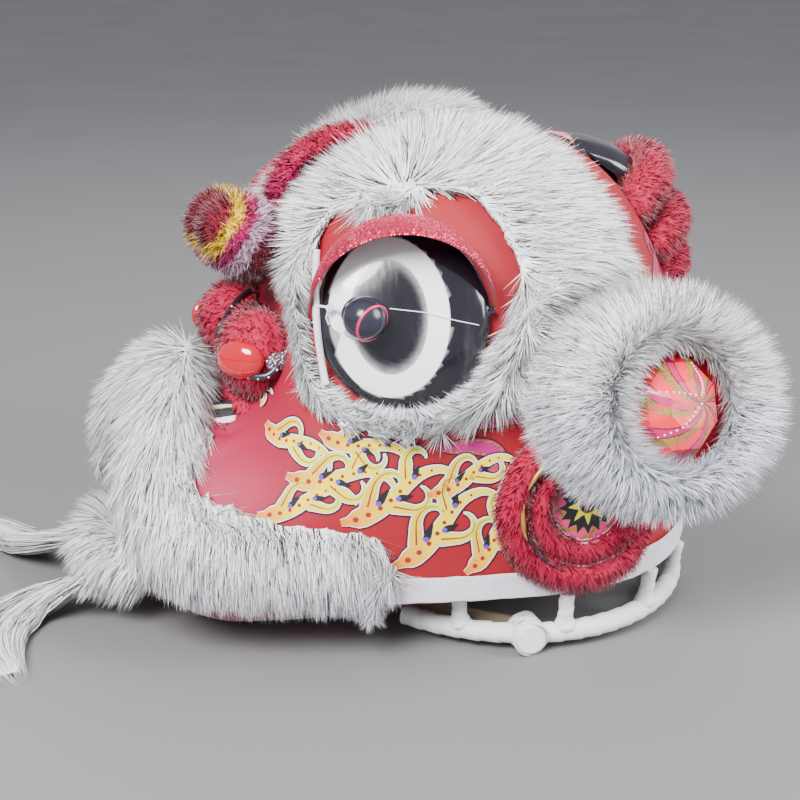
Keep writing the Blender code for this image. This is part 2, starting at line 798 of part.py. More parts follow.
def make_jaw():
    """The sequinned lower jaw, a tray open at the throat, and its two wooden arms."""
    jaw = open_wall("lower_jaw", jaw_grid(), JAW_WALL, "crimson_sequin", HEAD, split=True)
    left_cutter = arm_bar("arm_cutter_left", SEAT_GAP, CUTTERS)
    cut(jaw, left_cutter)
    cut(jaw, mirrored(left_cutter, "arm_cutter_right"))
    arms = both_sides(arm_bar("jaw_arm", 0.0, HEAD), "jaw_arm")
    return [baked(jaw), *arms]


def bundle_rings(points, grooves, steps):
    """Rings of a bundle of long hair with a groove between its strands."""
    rows = smooth_path([(p.x, p.y, p.z, p.half_width) for p in points], steps)
    centres = [Vector(r[:3]) for r in rows]
    rings = []
    for i, (centre, row) in enumerate(zip(centres, rows)):
        ahead = centres[min(i + 1, steps - 1)] - centres[max(i - 1, 0)]
        across = Vector((ahead.y, -ahead.x, 0.0)).normalized()
        up = across.cross(ahead).normalized()
        if up.z < 0:
            up = -up
        thick = min(BEARD_THICK / 2, centre.z - FLOOR_GAP)
        ring = []
        for k in range(2 * grooves):
            angle = math.pi * (k + 0.5) / grooves
            deep = 1.0 if k % 2 else 0.80
            ring.append(
                centre + across * (row[3] * math.cos(angle) * deep)
                + up * (thick * math.sin(angle) * deep)
            )
        rings.append(ring)
    return rings


def make_bundle(name, points, grooves=5, steps=10):
    """A bundle of straight hair that ends in separate points."""
    rings = bundle_rings(points, grooves, steps)
    bm = bmesh.new()
    rows = [[bm.verts.new(p) for p in ring] for ring in rings]
    sides = 2 * grooves
    for low, high in zip(rows, rows[1:]):
        for k in range(sides):
            n = (k + 1) % sides
            bm.faces.new((low[k], low[n], high[n], high[k]))
    bm.faces.new(rows[0])
    ahead = (Vector(rings[-1][0]) - Vector(rings[-2][0]))
    for k in range(sides):
        reach = 1.1 if k % 2 else -0.5
        rows[-1][k].co += ahead * reach
        rows[-1][k].co.z = max(rows[-1][k].co.z * 0.7, FLOOR_GAP)
    tip = bm.verts.new(sum((v.co for v in rows[-1]), Vector()) / sides)
    for k in range(sides):
        bm.faces.new((rows[-1][k], rows[-1][(k + 1) % sides], tip))
    return add_mesh(name, bm, "beard_hair", CUTTERS)


def make_beard(jaw_cutter):
    """The white tuft on the jaw's front and the two bundles of long hair that lie from it."""
    width, depth, height = TUFT_SIZE
    steps = 10
    centres, across, outward, widths, heights = [], [], [], [], []
    for i in range(steps + 1):
        share = 2 * i / steps - 1
        centres.append(Vector((width * share, JAW_FRONT_Y - 0.010 + 0.035 * share**2, 0.066)))
        across.append(Vector((0.0, 0.0, 1.0)))
        outward.append(Vector((0.0, -1.0, 0.0)))
        swell = math.sqrt(1 - (0.92 * share) ** 2)
        widths.append(height * swell)
        heights.append(depth * swell)
    rings = tube_rows(centres, across, outward, widths, heights, 8)
    down = Vector((0.0, -0.5, -0.6))
    tuft = lock_tube(
        "tuft", rings, False, 0.012, lambda _: down, "beard_hair", CUTTERS,
        bare=lambda place, normal: normal.y > 0.3,
    )
    shapes = [tuft, make_bundle("bundle_left", BEARD_LEFT), make_bundle("bundle_right", BEARD_RIGHT)]
    beard = fused("beard", shapes, "beard_hair", HEAD)
    return baked(cut(beard, jaw_cutter))


def make_lip_fur(dome, ribbon_cutter):
    """The roll of long fur along the upper lip, from mouth corner over the middle to the other."""
    run = WIDEST_Y - LIP_Y
    height = CROWN_Z - RIM_Z
    half = [
        (SHELL_HALF_WIDTH * p.side, LIP_Y + run * p.forward, RIM_Z + height * p.rise,
         LIP_FUR_HEIGHT * p.height, LIP_FUR_DEPTH * p.depth)
        for p in LIP_PATH
    ]
    whole = half + [(-x, y, z, w, d) for x, y, z, w, d in reversed(half[:-1])]
    rows = smooth_path(whole, 29)
    centres = [Vector(r[:3]) for r in rows]
    across, outward = [], []
    for i, centre in enumerate(centres):
        ahead = (centres[min(i + 1, len(rows) - 1)] - centres[max(i - 1, 0)]).normalized()
        out = Vector((3.0 * centre.x, centre.y + 0.12, centre.z - 0.13))
        out -= ahead * out.dot(ahead)
        outward.append(out.normalized())
        across.append(ahead.cross(out).normalized())
    rings = tube_rows(centres, across, outward, rows[:, 3], rows[:, 4], 7)
    for ring, centre in ((rings[0], centres[0]), (rings[-1], centres[-1])):
        for k, point in enumerate(ring):
            ring[k] = centre.lerp(point, 0.6)

    def comb(place):
        side = Vector((4.0 * place.x, 0.0, 0.0))
        return (side + Vector((0.0, -0.25, -0.8))).normalized()

    fur = lock_tube(
        "lip_fur", rings, False, LIP_LOCK, comb, "white_fur",
        bare=lambda place, normal: normal.dot(Vector((2 * place.x, place.y + 0.12, 0.0))) < -0.02,
    )
    return baked(cut(cut(fur, dome), ribbon_cutter))


NOSTRIL_PLACE = Vector((0.064, -0.168, 0.286))
NOSE_ROLL_PLACE = Vector((0.0, -0.180, 0.226))
BOWL_NORMAL = Vector((0.78, -0.55, 0.10)).normalized()


def bowl_shape(name, extra, collection):
    """The glossy dish in the near face of a nostril lobe."""
    centre = NOSTRIL_PLACE + BOWL_NORMAL * (NOSTRIL_RADIUS * 0.90)
    back = Vector((0.0, 1.0, 0.0)) - BOWL_NORMAL * BOWL_NORMAL.y
    back.normalize()
    up = BOWL_NORMAL.cross(back)
    axes = (back, up, BOWL_NORMAL)
    radii = (BOWL_RADIUS + extra, BOWL_RADIUS * 0.75 + extra, BOWL_DEPTH + extra)
    return ellipsoid(name, centre, radii, "red_gloss", collection, axes, 14, 6)


def make_nose(dome, lip_fur_cutter):
    """Two round nostril lobes and the roll under them, in short fur, with glossy bowls."""
    shapes = []
    for side in (1, -1):
        centre = Vector((NOSTRIL_PLACE.x * side, NOSTRIL_PLACE.y, NOSTRIL_PLACE.z))
        radii = (NOSTRIL_RADIUS, NOSTRIL_RADIUS * 0.92, NOSTRIL_RADIUS)
        shapes.append(ellipsoid(f"lobe_{side}", centre, radii, "crimson_fur", CUTTERS, None, 12, 7))
    bridge = (NOSTRIL_PLACE.x * 0.9, NOSTRIL_RADIUS * 0.75, NOSTRIL_RADIUS * 0.85)
    middle = Vector((0.0, NOSTRIL_PLACE.y + 0.006, NOSTRIL_PLACE.z - 0.006))
    shapes.append(ellipsoid("bridge", middle, bridge, "crimson_fur", CUTTERS, None, 10, 6))
    roll = (NOSE_ROLL_HALF_WIDTH, NOSE_ROLL_RADIUS, NOSE_ROLL_RADIUS)
    shapes.append(ellipsoid("roll", NOSE_ROLL_PLACE, roll, "crimson_fur", CUTTERS, None, 14, 6))
    nose = fused("nose", shapes, "crimson_fur", HEAD)
    pocket = bowl_shape("bowl_cutter_left", SEAT_GAP, CUTTERS)
    cut(nose, pocket)
    cut(nose, mirrored(pocket, "bowl_cutter_right"))
    cut(nose, dome)
    cut(nose, lip_fur_cutter)
    bowls = both_sides(bowl_shape("nostril", 0.0, HEAD), "nostril")
    return [baked(nose), *bowls]


Pompom = namedtuple("Pompom", "name root tip")


def head_place(side, forward, rise):
    """A place in the head by shares of its half width, of its front's depth and of its height."""
    return Vector((SHELL_HALF_WIDTH * side, WIDEST_Y + (WIDEST_Y - LIP_Y) * forward, CROWN_Z * rise))


POMPOMS = (
    Pompom("left", head_place(0.2449, -0.5619, 0.690), head_place(0.2531, -0.6976, 0.820)),
    Pompom("right", head_place(-0.1837, -0.5857, 0.660), head_place(-0.1837, -0.6905, 0.788)),
)


def make_pompom(row, tree, dome):
    """A pompom on its coil spring, leaning out from the forehead."""
    foot, _ = on_shell(tree, row.root, Vector((0.0, -0.6, 0.8)))
    lean = (row.tip - foot).normalized()
    start = foot + lean * (SPRING_RADIUS + SPRING_WIRE + 0.0035)
    end = row.tip - lean * (POMPOM_RADIUS * POMPOM_STRETCH)
    side = lean.cross(Vector((0.0, 0.0, 1.0))).normalized()
    other = lean.cross(side)
    per_turn = 5
    count = SPRING_TURNS * per_turn
    points = []
    for i in range(count + 1):
        angle = 2 * math.pi * i / per_turn
        centre = start.lerp(end + lean * SPRING_REACH, i / count)
        ring = side * math.cos(angle) + other * math.sin(angle)
        points.append(tuple(centre + ring * SPRING_RADIUS))
    spring = curve_tube("spring_" + row.name, points, SPRING_WIRE, "spring_steel", HEAD, 0)
    axes = (side, other, lean)
    radii = (POMPOM_RADIUS, POMPOM_RADIUS, POMPOM_RADIUS * POMPOM_STRETCH)
    bm = bmesh.new()
    bmesh.ops.create_uvsphere(bm, u_segments=10, v_segments=6, radius=1.0)
    turn = Matrix(axes).transposed()
    for vert in bm.verts:
        vert.co = turn @ (Matrix.Diagonal(Vector(radii)) @ vert.co) + row.tip
    poked = bmesh.ops.poke(bm, faces=[f for f in bm.faces if len(f.verts) == 4])
    for vert in poked["verts"]:
        vert.co += (vert.co - row.tip).normalized() * (POMPOM_RADIUS * 0.10)
    pompom = add_mesh("pompom_" + row.name, bm, "pompom_fur", HEAD)
    foot_plate = rod(
        "spring_foot_" + row.name, foot - lean * 0.002, start - lean * (SPRING_WIRE + SEAT_GAP),
        SPRING_RADIUS + FOOT_RIM, "spring_steel", HEAD,
    )
    return spring, pompom, baked(cut(foot_plate, dome))


def make_spring_rooms(tree):
    """The room that the pompoms' springs and feet need in the left brow's fur."""
    found = []
    for row in POMPOMS:
        foot, _ = on_shell(tree, row.root, Vector((0.0, -0.6, 0.8)))
        tip = row.tip.copy()
        foot.x, tip.x = abs(foot.x), abs(tip.x)
        room = SPRING_RADIUS + FOOT_RIM + SPRING_ROOM
        found.append(rod("spring_room_" + row.name, foot, tip, room, "white_fur", CUTTERS))
    return found


HornRow = namedtuple("HornRow", "forward rise swell")
HORN_PATH = (
    HornRow(-0.5000, 0.770, 1.00),
    HornRow(-0.4952, 0.840, 1.00),
    HornRow(-0.4524, 0.904, 0.90),
    HornRow(-0.3690, 0.948, 0.75),
    HornRow(-0.2738, 0.960, 0.50),
)
HORN_FUR_PATH = (
    HornRow(-0.5667, 0.800, 0.80),
    HornRow(-0.5714, 0.872, 1.00),
    HornRow(-0.5286, 0.940, 0.95),
    HornRow(-0.4286, 0.988, 0.85),
    HornRow(-0.3214, 1.000, 0.50),
)


def plain_tube(name, rows, radius, steps, sides, material, collection, extra=0.0):
    """A tapering tube in the head's middle plane."""
    places = [(*head_place(0.0, r.forward, r.rise), r.swell) for r in rows]
    path = smooth_path(places, steps)
    centres = [Vector(r[:3]) for r in path]
    across = [Vector((1.0, 0.0, 0.0))] * steps
    outward = []
    for i in range(steps):
        ahead = (centres[min(i + 1, steps - 1)] - centres[max(i - 1, 0)]).normalized()
        outward.append(ahead.cross(Vector((1.0, 0.0, 0.0))).normalized())
    sizes = [radius * r[3] + extra for r in path]
    rings = tube_rows(centres, across, outward, sizes, sizes, sides)
    return lock_tube(name, rings, False, 0.0, lambda _: Vector(), material, collection,
                     bare=lambda place, normal: True)


def make_horn(dome):
    """The horn on the forehead and the roll of short fur up its front."""
    horn = plain_tube("horn", HORN_PATH, HORN_RADIUS, 8, 10, "painted_skin", HEAD)
    cutter = plain_tube("horn_cutter", HORN_PATH, HORN_RADIUS, 8, 10, "painted_skin", CUTTERS, SEAT_GAP * 2)
    fur = plain_tube("horn_fur", HORN_FUR_PATH, HORN_FUR_RADIUS, 9, 8, "crimson_fur", HEAD)
    cut(horn, dome)
    cut(fur, dome)
    cut(fur, cutter)
    return [baked(horn), baked(fur)]


def eye_frame(tree):
    place, _ = on_shell(tree, EYE_AIM, EYE_NORMAL)
    back, up = local_axes(EYE_NORMAL)
    return place, back, up


def make_eye(tree, dome):
    """The glossy eye panel with its lid pivots, the eyeball and the eyelid."""
    centre, back, up = eye_frame(tree)
    axes = (back, up, EYE_NORMAL)
    panel = ellipsoid(
        "panel", centre, (EYE_HALF_LENGTH, EYE_HALF_HEIGHT, EYE_BULGE), "black_gloss", CUTTERS,
        axes, 18, 8,
    )
    reach = LID_HALF_LENGTH - SEAT_GAP
    pivot = rod("pivot", centre - back * reach, centre + back * reach, PIVOT_RADIUS, "black_gloss", CUTTERS)
    whole = fused("eye_panel", [panel, pivot], "black_gloss", HEAD)
    cut(whole, dome)
    panels = both_sides(whole, "eye_panel")
    drop = math.sqrt(1 - (BALL_FORWARD / EYE_HALF_LENGTH) ** 2)
    lift = EYE_BULGE * drop + BALL_RADIUS + SEAT_GAP
    ball = ellipsoid(
        "eyeball", centre - back * BALL_FORWARD + EYE_NORMAL * lift, (BALL_RADIUS,) * 3,
        "black_gloss", HEAD, axes, 12, 8,
    )
    balls = both_sides(ball, "eyeball")
    rows = []
    steps, spans = 12, 4
    for i in range(spans + 1):
        angle = math.radians(LID_LOW_DEG + (LID_HIGH_DEG - LID_LOW_DEG) * i / spans)
        out = EYE_NORMAL * math.cos(angle) + up * math.sin(angle)
        row = []
        for j in range(steps + 1):
            turn = math.pi * (j / steps - 0.5) * 0.97
            row.append(centre + back * (LID_HALF_LENGTH * math.sin(turn)) + out * (LID_RADIUS * math.cos(turn)))
        rows.append([tuple(p) for p in row])
    lid = open_wall("eyelid", np.array(rows), LID_WALL, "crimson_sequin", HEAD)
    solidify = lid.modifiers["wall"]
    normal = Vector(lid.data.polygons[len(lid.data.polygons) // 2].normal)
    place = Vector(lid.data.polygons[len(lid.data.polygons) // 2].center)
    solidify.offset = 1.0 if normal.dot(place - centre) > 0 else -1.0
    lids = both_sides(lid, "eyelid")
    return panels, balls, lids


def make_brow_fur(tree, dome, swing_cutters):
    """The deep white fur that rings the eye, widest above and behind it."""
    centre, back, up = eye_frame(tree)
    steps = 22
    table = np.array(BROW_ROWS, float)
    centres, across, outward, widths, heights = [], [], [], [], []
    for i in range(steps):
        angle = 360.0 * i / steps
        distance, width, height, sink, lean = (
            np.interp(angle, table[:, 0], table[:, k], period=360) for k in range(1, 6)
        )
        turn = math.radians(angle)
        radial = back * math.cos(turn) + up * math.sin(turn)
        flat = centre + radial * distance
        place, _ = on_shell(tree, flat, EYE_NORMAL)
        seated = (place - flat).dot(EYE_NORMAL)
        depth = -sink if lean > 0.05 else max(min(seated, 0.02), -sink)
        out = (EYE_NORMAL + BROW_LEAN * lean).normalized()
        centres.append(flat + EYE_NORMAL * depth + out * (height * BROW_RAISE))
        across.append((radial - out * radial.dot(out)).normalized())
        outward.append(out)
        widths.append(width)
        heights.append(height)
    rings = tube_rows(centres, across, outward, widths, heights, 7)
    for ring in rings:
        for point in ring:
            point.x = max(point.x, BROW_PARTING)

    def comb(place):
        away = (place - centre).normalized()
        toward_middle = min(1.0, max(0.0, (place.x - BROW_PARTING) / 0.03))
        return (away * 0.5 + Vector((0.0, 0.15, -0.9))).normalized() * toward_middle

    fur = lock_tube(
        "brow_fur", rings, True, BROW_LOCK, comb, "white_fur",
        bare=lambda place, normal: normal.dot(EYE_NORMAL) < -0.1
        or normal.dot(place - centre) < -0.02 or place.x < BROW_PARTING + 0.008,
    )
    cut(fur, dome)
    for cutter in swing_cutters:
        cut(fur, cutter)
    return both_sides(fur, "brow_fur")


def side_roll(name, tree, aim, face, rows, tube_sides, material, closed, lift):
    """A roll on the head's side, through places given by angle, radius and half width."""
    centre, _ = on_shell(tree, aim, face)
    back, up = local_axes(face)
    centres, across, outward, widths = [], [], [], []
    for angle, radius, half in rows:
        turn = math.radians(angle)
        radial = back * math.cos(turn) + up * (CHEEK_TALL_SHARE * math.sin(turn))
        place, _ = on_shell(tree, centre + radial * radius, face)
        centres.append(place + face * (half * lift))
        across.append(radial.normalized())
        outward.append(face)
        widths.append(half)
    rings = tube_rows(centres, across, outward, widths, widths, tube_sides)
    return lock_tube(name, rings, closed, 0.0, lambda _: Vector(), material,
                     bare=lambda place, normal: True)


OUTER_ROLL_ANGLES = (70.0, 335.0)


def make_cheek(tree, dome, ribbon_cutter):
    """The cheek rosette: a painted disc, the fur roll round it and the outer roll."""
    start, stop = OUTER_ROLL_ANGLES
    steps = 15
    rows = []
    for i in range(steps + 1):
        share = i / steps
        taper = min(1.0, 0.45 + 2.2 * min(share, 1 - share) * 2)
        rows.append((start + (stop - start) * share, OUTER_ROLL_RADIUS, OUTER_ROLL_HALF * taper))
    outer = side_roll(
        "cheek_outer_roll", tree, CHEEK_AIM, CHEEK_NORMAL, rows, 6, "crimson_fur", False, 0.5
    )
    ring = [(360.0 * i / 16, INNER_ROLL_RADIUS, INNER_ROLL_HALF) for i in range(16)]
    inner = side_roll(
        "cheek_inner_roll", tree, CHEEK_AIM, CHEEK_NORMAL, ring, 6, "crimson_fur", True, 0.6
    )
    centre, _ = on_shell(tree, CHEEK_AIM, CHEEK_NORMAL)
    radius = INNER_ROLL_RADIUS * math.cos(math.pi / 16) - INNER_ROLL_HALF - SEAT_GAP * 2
    low = centre - CHEEK_NORMAL * 0.012
    high = centre + CHEEK_NORMAL * DISC_THICK
    disc = rod("cheek_disc", low, high, radius, "cup_paint", HEAD, 24)
    _, up = local_axes(CHEEK_NORMAL)
    for vert in disc.data.vertices:
        vert.co -= up * ((1 - CHEEK_TALL_SHARE) * (vert.co - centre).dot(up))
    found = []
    for piece, stem in ((outer, "cheek_outer_roll"), (inner, "cheek_inner_roll"), (disc, "cheek_disc")):
        cut(piece, dome)
        cut(piece, ribbon_cutter)
        found += both_sides(piece, stem)
    return found


class EarPlaces:
    """Where the ear's plate and its hinge lie, and the directions in its plane."""

    def __init__(self, tree):
        place, _ = on_shell(tree, EAR_AIM, EAR_NORMAL)
        self.plate = place + EAR_NORMAL * EAR_STAND_OFF
        self.back, self.up = local_axes(EAR_NORMAL)
        high = EAR_AIM + Vector((0.0, 0.0, HINGE_RISE))
        top, _ = on_shell(tree, high, Vector((1.0, 0.0, 0.0)))
        self.hinge = top + Vector((HINGE_STAND_OFF, 0.0, 0.0))

    def axes(self):
        return self.back, self.up, EAR_NORMAL

    def in_plane(self, angle, length, height):
        return self.back * (length * math.cos(angle)) + self.up * (height * math.sin(angle))

    def cup(self):
        return self.plate + self.back * CUP_BACK - self.up * CUP_DOWN


def plate_shape(name, places, extra, collection):
    radii = (
        EAR_HALF_LENGTH * EAR_PLATE_SHARE + extra,
        EAR_HALF_HEIGHT * EAR_PLATE_SHARE + extra,
        EAR_PLATE_THICK + extra,
    )
    return ellipsoid(name, places.plate, radii, "cup_paint", collection, places.axes(), 14, 6)


def fork_shapes(places):
    """The two prongs from the knuckle down to the ear's backing board."""
    reach = EAR_HALF_HEIGHT * EAR_PLATE_SHARE * 0.62
    found = []
    for side in (-1, 1):
        across = Vector((0.0, side * (KNUCKLE_LENGTH / 2 - FORK_RADIUS - 0.001), 0.0))
        low = places.plate + places.up * reach + across - EAR_NORMAL * FORK_SET_BACK
        found.append(rod(f"fork_{side}", places.hinge + across, low, FORK_RADIUS, "cup_paint", CUTTERS, 6))
    return found


def make_ear_plate(places):
    """The ear's backing board with the fork and knuckle that hang it from the head."""
    half = Vector((0.0, KNUCKLE_LENGTH / 2, 0.0))
    hinge = places.hinge
    shapes = [plate_shape("plate", places, 0.0, CUTTERS)]
    shapes.append(rod("knuckle", hinge - half, hinge + half, KNUCKLE_RADIUS, "cup_paint", CUTTERS, 12))
    return fused("ear_plate", shapes + fork_shapes(places), "cup_paint", HEAD)


def make_ear_lug(places, dome):
    """The lug on the shell that holds the ear's knuckle in its bore."""
    hinge = places.hinge
    depth = 2 * HINGE_STAND_OFF + KNUCKLE_RADIUS + 0.004
    middle = hinge + Vector((KNUCKLE_RADIUS + 0.004 - depth / 2, 0.0, 0.0))
    bm = bmesh.new()
    bmesh.ops.create_cube(bm, size=1.0)
    for vert in bm.verts:
        vert.co = Vector((vert.co.x * depth, vert.co.y * LUG_LENGTH, vert.co.z * LUG_HEIGHT)) + middle
    lug = add_mesh("ear_lug", bm, "cup_paint", HEAD)
    bore_half = Vector((0.0, LUG_LENGTH, 0.0))
    bore = rod(
        "knuckle_cutter", hinge - bore_half, hinge + bore_half, KNUCKLE_RADIUS + SEAT_GAP,
        "cup_paint", CUTTERS, 24,
    )
    return cut(cut(lug, dome), bore)


def cup_shape(name, places, extra, collection):
    """The faceted painted cone that stands out of the ear's middle."""
    sides = 8
    bm = bmesh.new()
    rows = []
    for share, rise in ((1.0, 0.0), (0.98, 0.25), (0.80, 0.68), (0.42, 0.96)):
        row = []
        for k in range(sides):
            angle = 2 * math.pi * (k + 0.5) / sides
            radius = CUP_RADIUS * share + extra
            around = places.in_plane(angle, radius * CUP_WIDTH_SHARE, radius)
            row.append(bm.verts.new(places.cup() + around + EAR_NORMAL * (CUP_HEIGHT * rise + extra * rise)))
        rows.append(row)
    for low, high in zip(rows, rows[1:]):
        for k in range(sides):
            bm.faces.new((low[k], low[(k + 1) % sides], high[(k + 1) % sides], high[k]))
    bm.faces.new(rows[0])
    bm.faces.new(rows[-1])
    return add_mesh(name, bm, "cup_paint", collection)


def make_ear_fur(places):
    """The ring of long fur between the cup and the ear's outline."""
    steps = 18
    centres, across, outward, widths, heights = [], [], [], [], []
    for i in range(steps):
        angle = 2 * math.pi * i / steps
        outer = places.plate + places.in_plane(angle, EAR_HALF_LENGTH, EAR_HALF_HEIGHT)
        ray = CUP_RADIUS + CUP_FUR_GAP
        inner = places.cup() + places.in_plane(angle, ray * CUP_WIDTH_SHARE, ray)
        centres.append((outer + inner) / 2 + EAR_NORMAL * (EAR_FUR_HALF_HEIGHT * 0.8))
        across.append((outer - inner).normalized())
        outward.append(EAR_NORMAL)
        widths.append((outer - inner).length / 2)
        heights.append(EAR_FUR_HALF_HEIGHT)
    rings = tube_rows(centres, across, outward, widths, heights, 6)
    floor = EAR_PLATE_THICK * EAR_FUR_FLOOR
    for ring in rings:
        for point in ring:
            point += EAR_NORMAL * max(0.0, floor - (point - places.plate).dot(EAR_NORMAL))

    def comb(place):
        away = place - places.plate
        return (away.normalized() + Vector((0.0, 0.0, -0.3))).normalized()

    return lock_tube(
        "ear_fur", rings, True, EAR_LOCK, comb, "white_fur",
        bare=lambda place, normal: normal.dot(EAR_NORMAL) < -0.3
        or normal.dot((place - places.cup()).normalized()) < -0.2,
    )


def make_swing_cutters(places):
    """The room that the ear needs in the brow's fur, at rest and lifted."""
    found = []
    for index, share in enumerate((0.0, 1.0)):
        bm = bmesh.new()
        rows = []
        for rise in (-EAR_PLATE_THICK - EAR_CLEAR, 0.12):
            row = []
            for k in range(16):
                angle = 2 * math.pi * (k + 0.5) / 16
                reach = EAR_LOCK + EAR_CLEAR
                around = places.in_plane(angle, EAR_HALF_LENGTH + reach, EAR_HALF_HEIGHT + reach)
                row.append(bm.verts.new(places.plate + around + EAR_NORMAL * rise))
            rows.append(row)
        for k in range(16):
            n = (k + 1) % 16
            bm.faces.new((rows[0][k], rows[0][n], rows[1][n], rows[1][k]))
        bm.faces.new(rows[0])
        bm.faces.new(rows[1])
        turn = Matrix.Rotation(-math.radians(EAR_SWING_DEG) * share, 4, "Y")
        place = Matrix.Translation(places.hinge) @ turn @ Matrix.Translation(-places.hinge)
        bmesh.ops.transform(bm, matrix=place, verts=bm.verts)
        found.append(add_mesh(f"ear_swing_{index}", bm, "white_fur", CUTTERS))
    half = Vector((0.0, KNUCKLE_LENGTH / 2 + 0.008, 0.0))
    radius = KNUCKLE_RADIUS * 5.2
    found.append(rod(
        "hinge_room", places.hinge - half, places.hinge + half, radius, "white_fur", CUTTERS, 12
    ))
    return found


def make_ear(places, dome):
    """The ear: hinge lug on the shell, hung plate, painted cup and fur ring."""
    plate = make_ear_plate(places)
    plate_cutter = plate_shape("plate_cutter", places, SEAT_GAP, CUTTERS)
    cup = cut(cup_shape("ear_cup", places, 0.0, HEAD), plate_cutter)
    fur = cut(make_ear_fur(places), plate_cutter)
    lugs = both_sides(make_ear_lug(places, dome), "ear_lug")
    moving = [both_sides(plate, "ear_plate"), both_sides(cup, "ear_cup"), both_sides(fur, "ear_fur")]
    return lugs, [pair[0] for pair in moving], [pair[1] for pair in moving]


def crest_body(name, extra, collection):
    """The painted spine at the back of the head, from the crown down to its foot."""
    table = [
        (0.0, WIDEST_Y + BACK_DEPTH * r.back, CROWN_Z * r.rise, r.half_width, r.half_height)
        for r in CREST_SPINE
    ]
    rows = smooth_path(table, 14)
    centres = [Vector(r[:3]) for r in rows]
    across, outward = [], []
    for i in range(len(rows)):
        ahead = (centres[min(i + 1, len(rows) - 1)] - centres[max(i - 1, 0)]).normalized()
        across.append(Vector((1.0, 0.0, 0.0)))
        outward.append(ahead.cross(Vector((1.0, 0.0, 0.0))).normalized())
    widths = [CREST_HALF_WIDTH * r[3] + extra for r in rows]
    heights = [CREST_HALF_WIDTH * r[4] + extra for r in rows]
    rings = tube_rows(centres, across, outward, widths, heights, 10)
    return lock_tube(name, rings, False, 0.0, lambda _: Vector(), "black_gloss", collection,
                     bare=lambda place, normal: True)


def make_crest(dome):
    """The crest: a glossy spine with three arched rolls of short fur across it."""
    spine = cut(crest_body("crest_spine", 0.0, HEAD), dome)
    cutter = crest_body("crest_cutter", CREST_SEAT, CUTTERS)
    pieces = [baked(spine)]
    for index, row in enumerate(CREST_ROLLS, start=1):
        apex = Vector((0.0, WIDEST_Y + BACK_DEPTH * row.apex_back, CROWN_Z * row.apex_rise))
        end = Vector((CREST_HALF_WIDTH * row.end_side, WIDEST_Y + BACK_DEPTH * row.end_back,
                      CROWN_Z * row.end_rise))
        half = ((*apex, 1.0),
                (end.x * 0.62, apex.y * 0.72 + end.y * 0.28, apex.z * 0.70 + end.z * 0.30, 1.0),
                (*end, 0.7))
        whole = [(-x, y, z, s) for x, y, z, s in reversed(half[1:])] + list(half)
        path = smooth_path(whole, 11)
        centres = [Vector(p[:3]) for p in path]
        across, outward = [], []
        for i in range(len(path)):
            ahead = (centres[min(i + 1, len(path) - 1)] - centres[max(i - 1, 0)]).normalized()
            out = Vector((0.0, 1.0, 0.6))
            out = (out - ahead * out.dot(ahead)).normalized()
            outward.append(out)
            across.append(ahead.cross(out).normalized())
        sizes = [CREST_ROLL_RADIUS * row.radius * p[3] for p in path]
        rings = tube_rows(centres, across, outward, sizes, sizes, 6)
        roll = lock_tube(f"crest_roll_{index}", rings, False, 0.0, lambda _: Vector(),
                         "crimson_fur", bare=lambda place, normal: True)
        cut(roll, cutter)
        cut(roll, dome)
        pieces.append(baked(roll))
    return pieces


def carrier_at(name, place, parent=None):
    """An empty that carries pieces, with its origin at this place of the head."""
    empty = bpy.data.objects.new(name, None)
    empty.parent = parent
    empty.location = place
    HEAD.objects.link(empty)
    return empty


def gather(pieces, carrier, place=Vector((0.0, 0.0, 0.0))):
    """Parents the pieces to the empty that carries them, keeping their place in the head."""
    for piece in pieces:
        piece.parent = carrier
        piece.location = -place


def other_side(place):
    return Vector((-place.x, place.y, place.z))


def main():
    head = carrier_at("lion_head", (0.0, HEAD_SHIFT_Y, 0.0))
    dome = make_dome_cutter("dome_cutter", DOME_CLEAR)
    tree = shell_tree()
    make_shell()
    _, ribbon_cutter = make_rim_ribbon()
    make_lower_ring()
    make_knots()
    jaw_pieces = make_jaw()
    jaw_pieces.append(make_beard(make_jaw_cutter()))
    lip = make_lip_fur(dome, ribbon_cutter)
    lip_cutter = mirrored(lip, "lip_cutter")
    HEAD.objects.unlink(lip_cutter)
    CUTTERS.objects.link(lip_cutter)
    lip_cutter.hide_render = True
    lip_cutter.display_type = "WIRE"
    lip_cutter.data.transform(Matrix.Scale(-1.0, 4, Vector((1.0, 0.0, 0.0))))
    lip_cutter.data.flip_normals()
    make_nose(dome, lip_cutter)
    for row in POMPOMS:
        make_pompom(row, tree, dome)
    make_horn(dome)
    _, _, lids = make_eye(tree, dome)
    ear = EarPlaces(tree)
    make_brow_fur(tree, dome, [*make_swing_cutters(ear), *make_spring_rooms(tree)])
    make_cheek(tree, dome, ribbon_cutter)
    _, ear_left, ear_right = make_ear(ear, dome)
    make_crest(dome)
    gather([o for o in HEAD.objects if o.type == "MESH"], head)
    jaw_pivot = Vector((0.0, ring_point(KNOT_PLACE_DEG).y, RING_Z))
    gather(jaw_pieces, carrier_at("jaw_pivot", jaw_pivot, head), jaw_pivot)
    gather(ear_left, carrier_at("ear_pivot_left", ear.hinge, head), ear.hinge)
    right = other_side(ear.hinge)
    gather(ear_right, carrier_at("ear_pivot_right", right, head), right)
    eye, _, _ = eye_frame(tree)
    gather([lids[0]], carrier_at("eyelid_pivot_left", eye, head), eye)
    gather([lids[1]], carrier_at("eyelid_pivot_right", other_side(eye), head), other_side(eye))


clear_scene()
HEAD = new_collection("lion_dance_head")
CUTTERS = new_collection("cutters", hidden=True)
main()
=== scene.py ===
"""The looks of a lion dance head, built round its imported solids.

Fur is grown as strand meshes over its padded forms, and the head's flames and clouds are laid on
its skin as thin layers of paint. Bindings, springs and trims are modelled over their solids.
"""

from __future__ import annotations

